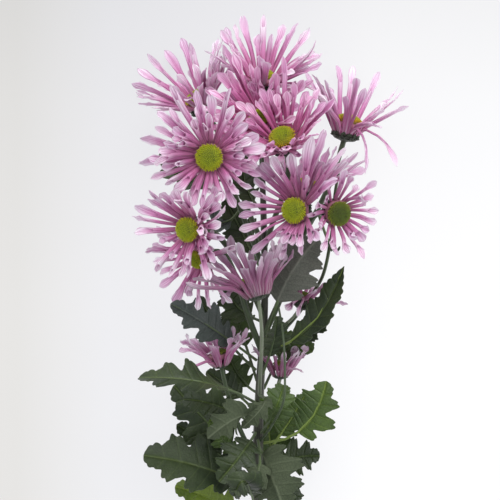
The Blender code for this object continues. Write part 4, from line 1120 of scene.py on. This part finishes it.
def bract():
    """One green bract of the cup, lying along +X: a narrow pointed scale with a raised middle."""
    bpy.ops.mesh.primitive_grid_add(
        x_subdivisions=BRACT_STEPS, y_subdivisions=BRACT_COLUMNS, size=1, location=(0.5, 0, 0)
    )
    made = newest("bract")
    with editing(made):
        for row, half in enumerate(BRACT_HALVES):
            place = row / BRACT_STEPS
            choose(made, lambda point, place=place: abs(point.co.x - place) < 0.01)
            bpy.ops.transform.resize(value=(1, 2 * half, 1), center_override=(place, 0, 0))
        choose(made, lambda point: abs(point.co.y) < 0.01)
        bpy.ops.transform.translate(value=(0, 0, BRACT_KEEL))
    mapped(made, lambda spot: (spot.x, min(1.0, abs(spot.y))))
    marked(made, "tint", 0.5)
    return finish(made, "SOLIDIFY", thickness=BRACT_WALL, offset=-1)


def cup_of_bracts():
    """The green cup under a head, with three rows of bracts that lap over each other."""
    cup = turned("cup", 24, CUP_ROWS)
    mapped(cup, lambda spot: (0.2, 0.5))
    marked(cup, "tint", 0.2)
    one = bract()
    dice = random.Random("bracts")
    pieces = [cup]
    for row, (count, low, near, high, far, reach) in enumerate(BRACT_ROWS):
        for i in range(count):
            turn = 2 * math.pi * (i + 0.5 * row) / count + dice.uniform(*BRACT_TURNS)
            lift = dice.uniform(*BRACT_LIFTS)
            points = [(near, 0, low), ((near + far) / 2 + BRACT_OUT, 0, (low + high) / 2 - BRACT_DROP),
                      (far, 0, high + lift), (reach, 0, high + BRACT_TIP + lift)]
            made = copied(one, "bract")
            made.data.transform(Matrix.Diagonal((path_length(np.array(points)), 1.0, 1.0, 1)))
            bent(made, points)
            made.data.transform(Matrix.Rotation(turn, 4, "Z"))
            pieces.append(marked(made, "tint", dice.random()))
    bpy.data.objects.remove(one)
    return smooth_shaded(joined(pieces, "bracts"), 50)


def branch(bloom, cup):
    """The branch of a head with its cup."""
    look = HEAD_LOOKS[bloom.name]
    line, radii = branch_path(bloom)
    line = smooth(line, 4)
    line += look.straight * (np.linspace(line[0], line[-1], len(line)) - line)
    radii = np.interp(np.linspace(0, 1, len(line)), np.linspace(0, 1, len(radii)), radii) * look.thick
    stalk = rod("stalk", line, radii)
    made = copied(cup, "cup")
    if look.cup:
        wide, high = look.cup
        lower = Matrix.Translation((0, 0, CUP_FOOT * (1 - high)))
        made.data.transform(lower @ Matrix.Diagonal((wide, wide, high, 1)))
    made.data.transform(Matrix.Scale(bloom.size, 4))
    seated(made, head_axes(bloom), bloom.seat)
    stalk.data.materials.append(MATERIALS[look.stalk])
    made.data.materials.append(MATERIALS["bract"])
    return smooth_shaded(joined([stalk, made], f"branch_{bloom.name}"))


def shoot(number, line, radius):
    """A thin side shoot along a smooth line."""
    line = smooth(line, 5)
    made = rod(f"shoot_{number}", line, np.linspace(0.85, 1.15, len(line)) * radius, sides=10)
    made.data.materials.append(MATERIALS["stalk"])
    return smooth_shaded(made)


def main_stem():
    """The main stem, from its cut end up."""
    path = main_path()
    line = np.vstack([path[0, :3], smooth(path[1:, :3], 3)])
    radii = np.interp(line[:, 1], path[:, 1], path[:, 3]) * STEM_THICKER
    line[:, 2] = np.maximum(line[:, 2], radii + STEM_ABOVE)
    stem = rod("main_stem", line, radii, sides=16, flute=0.94)
    stem.data.materials.append(MATERIALS["main_stem"])
    stem.data.materials.append(MATERIALS["cut_face"])
    for face in stem.data.polygons:
        face.material_index = int(face.center.y < STEM_LOW.y + 0.1 * MM)
    return smooth_shaded(stem)


# Leaves


def margin(outline, share, phase):
    """How far a leaf's margin lies from the midrib at a share of its length: lobes, with blunt teeth on them."""
    places, widths = zip(*outline, strict=True)
    width = float(np.interp(share, places, widths))
    tooth = 1 - abs(math.sin(math.pi * (share * TEETH + phase)))
    return width * (1 - TOOTH * tooth)


def blade(kind, outline):
    """A flat lobed leaf blade along +X, with its side veins pressed in and their undersides raised."""
    bpy.ops.mesh.primitive_grid_add(
        x_subdivisions=BLADE_ROWS, y_subdivisions=BLADE_COLUMNS, size=1, location=(0.5, 0, 0)
    )
    made = newest(f"blade_{kind}")
    made.data.transform(Matrix.Diagonal((BLADE_LENGTH, 2 * BLADE_HALF, 1, 1)))
    with editing(made):
        for column in np.linspace(-BLADE_HALF, BLADE_HALF, BLADE_COLUMNS + 1):
            choose(made, lambda point, column=column: abs(point.co.y - column) < 0.01)
            bpy.ops.transform.translate(value=(BLADE_SLANT * abs(column), 0, 0))
        for row in np.linspace(0, 1, BLADE_ROWS + 1):
            place = row * BLADE_LENGTH
            for side, phase in TOOTH_PHASES:
                choose(made, lambda point, place=place, side=side: (
                    point.co.y * side > 0.01 and abs(point.co.x - BLADE_SLANT * abs(point.co.y) - place) < 0.01
                ))
                width = max(0.004, margin(outline, row, phase))
                bpy.ops.transform.resize(value=(width, width, 1), center_override=(place, 0, 0))
    mapped(made, lambda spot: ((spot.x - BLADE_SLANT * abs(spot.y)) / BLADE_LENGTH, 0.5 + spot.y / 2 / BLADE_HALF))
    veins = made.vertex_groups.new(name="veins")
    for point in made.data.vertices:
        share = (point.co.x - BLADE_SLANT * abs(point.co.y)) / BLADE_LENGTH
        near = max(math.exp(-(((share - vein) / SIDE_VEIN_HALF) ** 2)) for vein in SIDE_VEINS)
        depth = max(near * SIDE_VEIN_DEPTH, math.exp(-((point.co.y / MIDRIB_HALF) ** 2)))
        veins.add([point.index], depth, "REPLACE")
    finish(made, "DISPLACE", strength=-VEIN_DEPTH, direction="Z", mid_level=0.0, vertex_group="veins")
    marked(made, "tint", 0.0)
    made.data.materials.append(None)
    made.data.materials.append(None)
    return finish(made, "SOLIDIFY", thickness=BLADE_WALL, offset=0, material_offset=1)


def midrib(leaf, bare, length):
    """The raised rib of a leaf along +X, from the foot of its bare stalk nearly to its tip."""
    stations = [(0, 0.8, 0.8), (bare * 0.6, 0.7, 0.7), (bare, 0.75, 0.7), (bare + (length - bare) * 0.4, 0.4, 0.5),
                (length - 4, 0.18, 0.3), (length - 1, 0.1, 0.18)]
    rib = drawn("rib", 8, stations, flute=0.95)
    rib.data.transform(Matrix.Translation((0, 0, RIB_HEIGHT)))
    mapped(rib, lambda spot: (spot.x / length, 0.5))
    marked(rib, "tint", 1.0)
    rib.data.materials.append(MATERIALS["bright_rib" if leaf.name in BRIGHT_RIBS else "rib"])
    return rib


def foliage(leaf, blades):
    """A leaf in its place: a blade folded along its midrib, waved, set on its stalk and bent along its path."""
    line = leaf_line(leaf, np.linspace(0, 1, LEAF_STEPS + 1)[:, None])[0]
    length = path_length(line)
    bare = path_length(line[: 1 + round(leaf.stalk * LEAF_STEPS)])
    kind = "slim" if leaf.name in SLIM_LEAVES else ("oak", "deep")[int(leaf.name) % 2]
    made = copied(blades[kind], "blade")
    flip = -1 if int(leaf.name) % 3 == 0 else 1
    made.data.transform(Matrix.Diagonal(((length - bare) / BLADE_LENGTH, flip * leaf.half_width / BLADE_HALF, 1, 1)))
    made.data.transform(Matrix.Translation((bare, 0, 0)))
    if flip < 0:
        made.data.flip_normals()
    for point in made.data.vertices:
        out, share = abs(point.co.y), point.co.x / length
        phase = LEAF_WAVES[0] * share - LEAF_WAVES[1] * point.co.y / leaf.half_width
        wave = LEAF_WAVE * math.sin(phase) * out / leaf.half_width
        ripple = RIPPLE * math.sin(point.co.x * RIPPLES + leaf.half_width) * (out / leaf.half_width) ** 2
        point.co.z += LEAF_FOLD * out + wave + ripple
    made.data.materials[0] = MATERIALS[LEAF_LOOKS.get(leaf.name, "leaf")]
    made.data.materials[1] = MATERIALS["grey_underside" if leaf.name in GREY_UNDERSIDES else "leaf_underside"]
    face = unit(leaf.face)
    ahead = line[-1] - line[0]
    ahead = unit(ahead - face * (ahead @ face))
    axes = np.array([ahead, np.cross(face, ahead), face])
    piece = joined([made, midrib(leaf, bare, length)], f"foliage_{leaf.name}")
    bent(piece, (line - line[0]) @ axes.T)
    seated(piece, axes, line[0])
    return smooth_shaded(piece, 50)


# Finishes


class Finish:
    """A material on a Principled shader, with short ways to add nodes to it."""

    def __init__(self, name, **sockets):
        self.made = bpy.data.materials.new(name)
        self.made.use_nodes = True
        self.tree = self.made.node_tree
        self.shader = self.tree.nodes["Principled BSDF"]
        for socket, value in sockets.items():
            self.shader.inputs[socket.replace("_", " ")].default_value = value

    def node(self, kind, settings=(), **inputs):
        """A node of a kind. An input is a value, or the output socket that feeds it."""
        made = self.tree.nodes.new("ShaderNode" + kind)
        for name, value in dict(settings).items():
            setattr(made, name, value)
        for name, value in inputs.items():
            socket = made.inputs[int(name[1:])] if name[1:].isdigit() else made.inputs[name.replace("_", " ")]
            if isinstance(value, bpy.types.NodeSocket):
                self.tree.links.new(value, socket)
            else:
                socket.default_value = value
        return made

    def uv(self):
        """The two values of the piece's own UV map."""
        parts = self.node("SeparateXYZ", Vector=self.node("UVMap", {"uv_map": "UVMap"}).outputs["UV"])
        return parts.outputs["X"], parts.outputs["Y"]

    def number(self, name):
        """A number that the piece's points carry."""
        return self.node("Attribute", {"attribute_name": name}).outputs["Fac"]

    def math(self, operation, a, b=0.0):
        """Two numbers put together."""
        return self.node("Math", {"operation": operation}, i0=a, i1=b).outputs[0]

    def ramp(self, source, stops):
        """Colours or greys by a number, from stops of a place and a colour."""
        made = self.node("ValToRGB", Fac=source)
        elements = made.color_ramp.elements
        while len(elements) < len(stops):
            elements.new(0.5)
        for element, (place, colour) in zip(elements, sorted(stops), strict=True):
            element.position = place
            element.color = (*colour, 1) if isinstance(colour, tuple) else (colour, colour, colour, 1)
        return made.outputs["Color"]

    def noise(self, vector, scale, detail=3.0, rough=0.55):
        """A soft random pattern."""
        return self.node("TexNoise", Vector=vector, Scale=scale, Detail=detail, Roughness=rough).outputs["Fac"]

    def combined(self, x, y, z=0.0):
        """Three numbers as one place."""
        return self.node("CombineXYZ", X=x, Y=y, Z=z).outputs["Vector"]

    def here(self):
        """The place of a point on the object, in metres."""
        return self.node("TexCoord").outputs["Object"]

    def mix(self, share, a, b, way="MIX"):
        """One colour laid over another."""
        made = self.node("Mix", {"data_type": "RGBA", "blend_type": way})
        for index, value in ((0, share), (6, a), (7, b)):
            if isinstance(value, bpy.types.NodeSocket):
                self.tree.links.new(value, made.inputs[index])
            else:
                made.inputs[index].default_value = value if index == 0 else (*value, 1)
        return made.outputs[2]

    def coloured(self, colour):
        """Sets the colour that the surface shows."""
        self.tree.links.new(colour, self.shader.inputs["Base Color"])
        return self

    def bumped(self, height, distance, strength=1.0):
        """Raises fine relief, with its height in metres."""
        bump = self.node("Bump", Height=height, Distance=distance, Strength=strength)
        self.tree.links.new(bump.outputs["Normal"], self.shader.inputs["Normal"])
        return self


def petal_finish():
    """Ray floret: deep rose at the root, pale lilac at the spoon, with fine lengthwise streaks, a painted highlight
    along its keel and its head's painted light and shade.
    """
    skin = Finish("petal", Roughness=0.45, Subsurface_Weight=0.5, Subsurface_Scale=0.0015, Sheen_Weight=0.15,
                  Specular_IOR_Level=0.35)
    skin.shader.inputs["Subsurface Radius"].default_value = (1.0, 0.7, 0.9)
    along, around = skin.uv()
    tint = skin.number("tint")
    length = skin.ramp(along, [
        (0.0, (0.28, 0.10, 0.15)), (0.10, (0.40, 0.11, 0.235)), (0.40, (0.475, 0.14, 0.31)),
        (0.62, (0.53, 0.21, 0.385)), (0.82, (0.60, 0.365, 0.51)), (1.0, (0.66, 0.53, 0.63)),
    ])
    pale_margin = skin.math("MULTIPLY", skin.ramp(around, [(0.26, 0.0), (0.50, 0.7)]),
                            skin.ramp(along, [(0.50, 0.0), (0.78, 1.0)]))
    # Painted highlight along the keel of the tube, strongest near the root
    painted_keel_highlight = skin.math("MULTIPLY", skin.ramp(around, [(0.0, 0.85), (0.18, 0.0)]),
                          skin.ramp(along, [(0.0, 1.0), (0.55, 0.0)]))
    colour = skin.mix(pale_margin, length, (0.66, 0.50, 0.62))
    colour = skin.mix(painted_keel_highlight, colour, (0.62, 0.46, 0.54))
    streak_place = skin.combined(skin.math("MULTIPLY", along, 1.6), skin.math("MULTIPLY", around, 8.0),
                                 skin.math("MULTIPLY", tint, 40.0))
    streak = skin.noise(streak_place, 1.0, 2.0)
    streaks = skin.ramp(streak, [(0.34, (0.74, 0.55, 0.67)), (0.50, (1.0, 1.0, 1.0)), (0.66, (1.26, 1.42, 1.34))])
    colour = skin.mix(1.0, colour, streaks, "MULTIPLY")
    shade = skin.ramp(tint, [(0.0, (0.88, 0.82, 0.88)), (0.5, (1.0, 1.0, 1.0)), (1.0, (1.12, 1.18, 1.12))])
    colour = skin.mix(1.0, colour, shade, "MULTIPLY")
    colour = skin.mix(skin.number("rosy"), colour, skin.mix(1.0, colour, (1.03, 0.80, 0.92), "MULTIPLY"))
    # Painted light and shade of the whole head: darker florets where it lies in shadow, lighter where it is lit
    painted_light_and_shade = skin.number("shade")
    skin.coloured(skin.mix(1.0, colour, skin.combined(painted_light_and_shade, painted_light_and_shade, painted_light_and_shade), "MULTIPLY"))
    return skin.bumped(streak, 0.00025, 0.6).made


def disc_finish(name, middle, edge, tips):
    """Disc floret buds: yellow-green, darker towards the middle, with painted shade on the dome between them."""
    skin = Finish(name, Roughness=0.5, Subsurface_Weight=0.1, Subsurface_Scale=0.0008)
    out, _ = skin.uv()
    tint = skin.number("tint")
    colour = skin.ramp(out, [(0.0, middle), (0.45, middle), (0.86, edge), (1.0, tips)])
    # Painted shade on the dome between the buds, which carries tint 0, then a random tone on each bud
    shade = skin.ramp(tint, [(0.0, (0.34, 0.34, 0.30)), (0.02, (0.80, 0.82, 0.75)), (1.0, (1.25, 1.22, 1.2))])
    skin.coloured(skin.mix(1.0, colour, shade, "MULTIPLY"))
    grain = skin.noise(skin.here(), 2600.0)
    return skin.bumped(grain, 0.0002, 0.4).made


def leaf_finish(name, dark, light, vein, gloss=0.42):
    """Leaf blade: green with paler veins, a fine net between them, and soft random patches, the darker ones painted
    shade.
    """
    skin = Finish(name, Roughness=gloss, Specular_IOR_Level=0.4)
    along, across = skin.uv()
    from_rib = skin.math("ABSOLUTE", skin.math("SUBTRACT", across, 0.5))
    rib = skin.ramp(from_rib, [(0.0, 0.9), (0.010, 0.7), (0.028, 0.0)])
    stops = [(0.0, 0.0)]
    for place in SIDE_VEINS:
        stops += [(place - 0.010, 0.0), (place, 0.35), (place + 0.010, 0.0)]
    side = skin.ramp(along, stops)
    lines = skin.math("MAXIMUM", rib, side)
    place = skin.here()
    # Soft random patches of tone, their darker parts painted shade across the leaf
    shade_patches = skin.ramp(skin.noise(place, 62.0, 4.0), [(0.32, 0.0), (0.62, 1.0)])
    net = skin.node("TexVoronoi", {"feature": "DISTANCE_TO_EDGE"}, Vector=place, Scale=620.0).outputs["Distance"]
    cells = skin.ramp(net, [(0.0, 0.0), (0.12, 1.0)])
    colour = skin.mix(shade_patches, dark, light)
    colour = skin.mix(0.28, colour, skin.mix(1.0, colour, cells, "MULTIPLY"))
    skin.coloured(skin.mix(lines, colour, vein))
    height = skin.math("SUBTRACT", skin.math("MULTIPLY", cells, 0.35), lines)
    return skin.bumped(height, 0.0003, 0.7).made


def stem_finish(name, dark, light, scale=1.0):
    """Stem: lengthwise streaks over a changing green or brown, with fine down."""
    skin = Finish(name, Roughness=0.5, Specular_IOR_Level=0.4, Sheen_Weight=0.1)
    along, around = skin.uv()
    place = skin.combined(skin.math("MULTIPLY", along, 0.05 * scale), skin.math("MULTIPLY", around, 9.0))
    streak = skin.noise(place, 1.0, 4.0)
    colour = skin.mix(skin.ramp(streak, [(0.35, 0.0), (0.65, 1.0)]), dark, light)
    skin.coloured(colour)
    grain = skin.noise(skin.here(), 1500.0)
    height = skin.math("ADD", skin.math("MULTIPLY", streak, 0.7), skin.math("MULTIPLY", grain, 0.3))
    return skin.bumped(height, 0.0004).made


def cut_finish(name, pith, rind):
    """The stem's cut face: pale, with soft specks."""
    skin = Finish(name, Roughness=0.6, Subsurface_Weight=0.1, Subsurface_Scale=0.0008)
    specks = skin.noise(skin.here(), 2200.0, 4.0)
    skin.coloured(skin.mix(skin.ramp(specks, [(0.4, 0.0), (0.62, 1.0)]), pith, rind))
    return skin.bumped(specks, 0.0002, 0.5).made


def floor_finish():
    """A pale, even surface that glows softly, as a light table does, a little more towards the right."""
    skin = Finish("pale_surface", Roughness=0.9, Base_Color=(0.10, 0.10, 0.102, 1), Specular_IOR_Level=0.0)
    place = skin.node("SeparateXYZ", Vector=skin.here())
    across = skin.node("MapRange", i0=place.outputs["X"], i1=-0.135, i2=0.095).outputs[0]
    upward = skin.node("MapRange", i0=place.outputs["Y"], i1=-0.07, i2=0.19).outputs[0]
    glow = skin.ramp(across, [
        (0.0, (0.675, 0.665, 0.645)), (0.11, (0.72, 0.715, 0.715)), (0.21, (0.75, 0.75, 0.77)),
        (0.57, (0.815, 0.815, 0.84)), (0.83, (0.885, 0.885, 0.895)), (1.0, (0.89, 0.89, 0.90)),
    ])
    fall = skin.ramp(upward, [(0.0, 1.0), (0.39, 1.0), (0.6, 0.965), (0.8, 0.92), (1.0, 0.84)])
    skin.tree.links.new(skin.mix(1.0, glow, fall, "MULTIPLY"), skin.shader.inputs["Emission Color"])
    skin.shader.inputs["Emission Strength"].default_value = 1.0
    return skin.made


def finishes():
    """Every material, by name."""
    made = [petal_finish(), stem_finish("main_stem", *MAIN_STEM_COLOURS, 0.6), cut_finish("cut_face", *CUT_COLOURS)]
    made += [disc_finish(name, *colours) for name, colours in DISC_COLOURS.items()]
    made += [leaf_finish(name, *colours) for name, colours in LEAF_COLOURS.items()]
    made += [leaf_finish(name, *colours, gloss=0.7) for name, colours in UNDERSIDE_COLOURS.items()]
    made += [stem_finish(name, *colours) for name, colours in STEM_COLOURS.items()]
    return {material.name: material for material in made}


# Camera, floor and light


def camera():
    """The camera, which looks straight down on the spray, with its picture's top towards the flowers."""
    data = bpy.data.cameras.new("camera")
    data.sensor_width = SENSOR_WIDTH
    data.lens = SENSOR_WIDTH * LENS_DISTANCE / VIEW_WIDTH
    made = bpy.data.objects.new("camera", data)
    made.location = ORIGIN + Vector(CAMERA_PLACE) * MM
    bpy.context.scene.collection.objects.link(made)
    bpy.context.scene.camera = made


def softbox(name, place, target, size, power):
    """A large soft lamp, aimed at a point."""
    data = bpy.data.lights.new(name, "AREA")
    data.shape = "RECTANGLE"
    data.size, data.size_y = size
    data.energy = power
    made = bpy.data.objects.new(name, data)
    made.location = place
    made.rotation_euler = (Vector(target) - Vector(place)).to_track_quat("-Z", "Y").to_euler()
    bpy.context.scene.collection.objects.link(made)


def stage():
    """A pale floor under soft light, brighter towards the right."""
    bpy.ops.mesh.primitive_plane_add(size=6.0)
    floor = newest("floor")
    floor.data.materials.append(floor_finish())
    world = bpy.data.worlds.new("pale_room")
    world.use_nodes = True
    world.node_tree.nodes["Background"].inputs["Color"].default_value = (0.93, 0.95, 1.0, 1)
    world.node_tree.nodes["Background"].inputs["Strength"].default_value = 0.7
    bpy.context.scene.world = world
    softbox("top_box", (0.15, 0.85, 0.85), (0, 0.08, 0), (1.0, 0.7), 10)
    softbox("right_box", (1.0, 0.1, 0.8), (0.1, 0, 0), (0.8, 0.8), 4)
    softbox("left_box", (-0.9, 0.4, 0.8), (-0.05, 0.1, 0), (0.9, 0.9), 4.5)
    bpy.context.scene.view_settings.view_transform = "Standard"


def on_body(piece, slot, *nodes):
    """Puts a finished piece on the whole spray's body, so that it moves with it, and hides the solids of the nodes it
    stands for. slot is not used.
    """
    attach(piece, "root")
    if nodes:
        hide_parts(*nodes)
    return piece


def dressed():
    """Every finished piece of the spray."""
    on_body(main_stem(), "stem_green", "stem")
    quills = {kind: quill(kind) for kind in QUILLS}
    disc = disc_of_buds()
    cup = cup_of_bracts()
    for bloom, shapes in zip(BLOOMS, filled_out(*laid_out()), strict=True):
        on_body(head_of_florets(bloom, shapes, quills), "petal_pink", f"bloom_{bloom.name}_rays")
        dome = copied(disc, f"disc_{bloom.name}")
        dome.data.transform(Matrix.Scale(bloom.size * HEAD_LOOKS[bloom.name].disc_size, 4))
        seated(dome, head_axes(bloom), bloom.seat)
        dome.data.materials.append(MATERIALS[HEAD_LOOKS[bloom.name].disc])
        on_body(dome, "disc_green", f"bloom_{bloom.name}_disc")
        on_body(branch(bloom, cup), "stem_green", "stem")
    blades = {kind: blade(kind, outline) for kind, outline in BLADE_OUTLINES.items()}
    for leaf in LEAVES:
        on_body(foliage(leaf, blades), "leaf_green", f"leaf_{leaf.name}")
    for leaf in SMALL_LEAVES:
        on_body(foliage(leaf, blades), "leaf_green")
    for number, (line, radius) in enumerate(SHOOTS, 1):
        on_body(shoot(number, line, radius), "stem_green")
    for pattern in (*quills.values(), *blades.values(), disc, cup):
        bpy.data.objects.remove(pattern)


MATERIALS = finishes()
camera()
stage()
dressed()
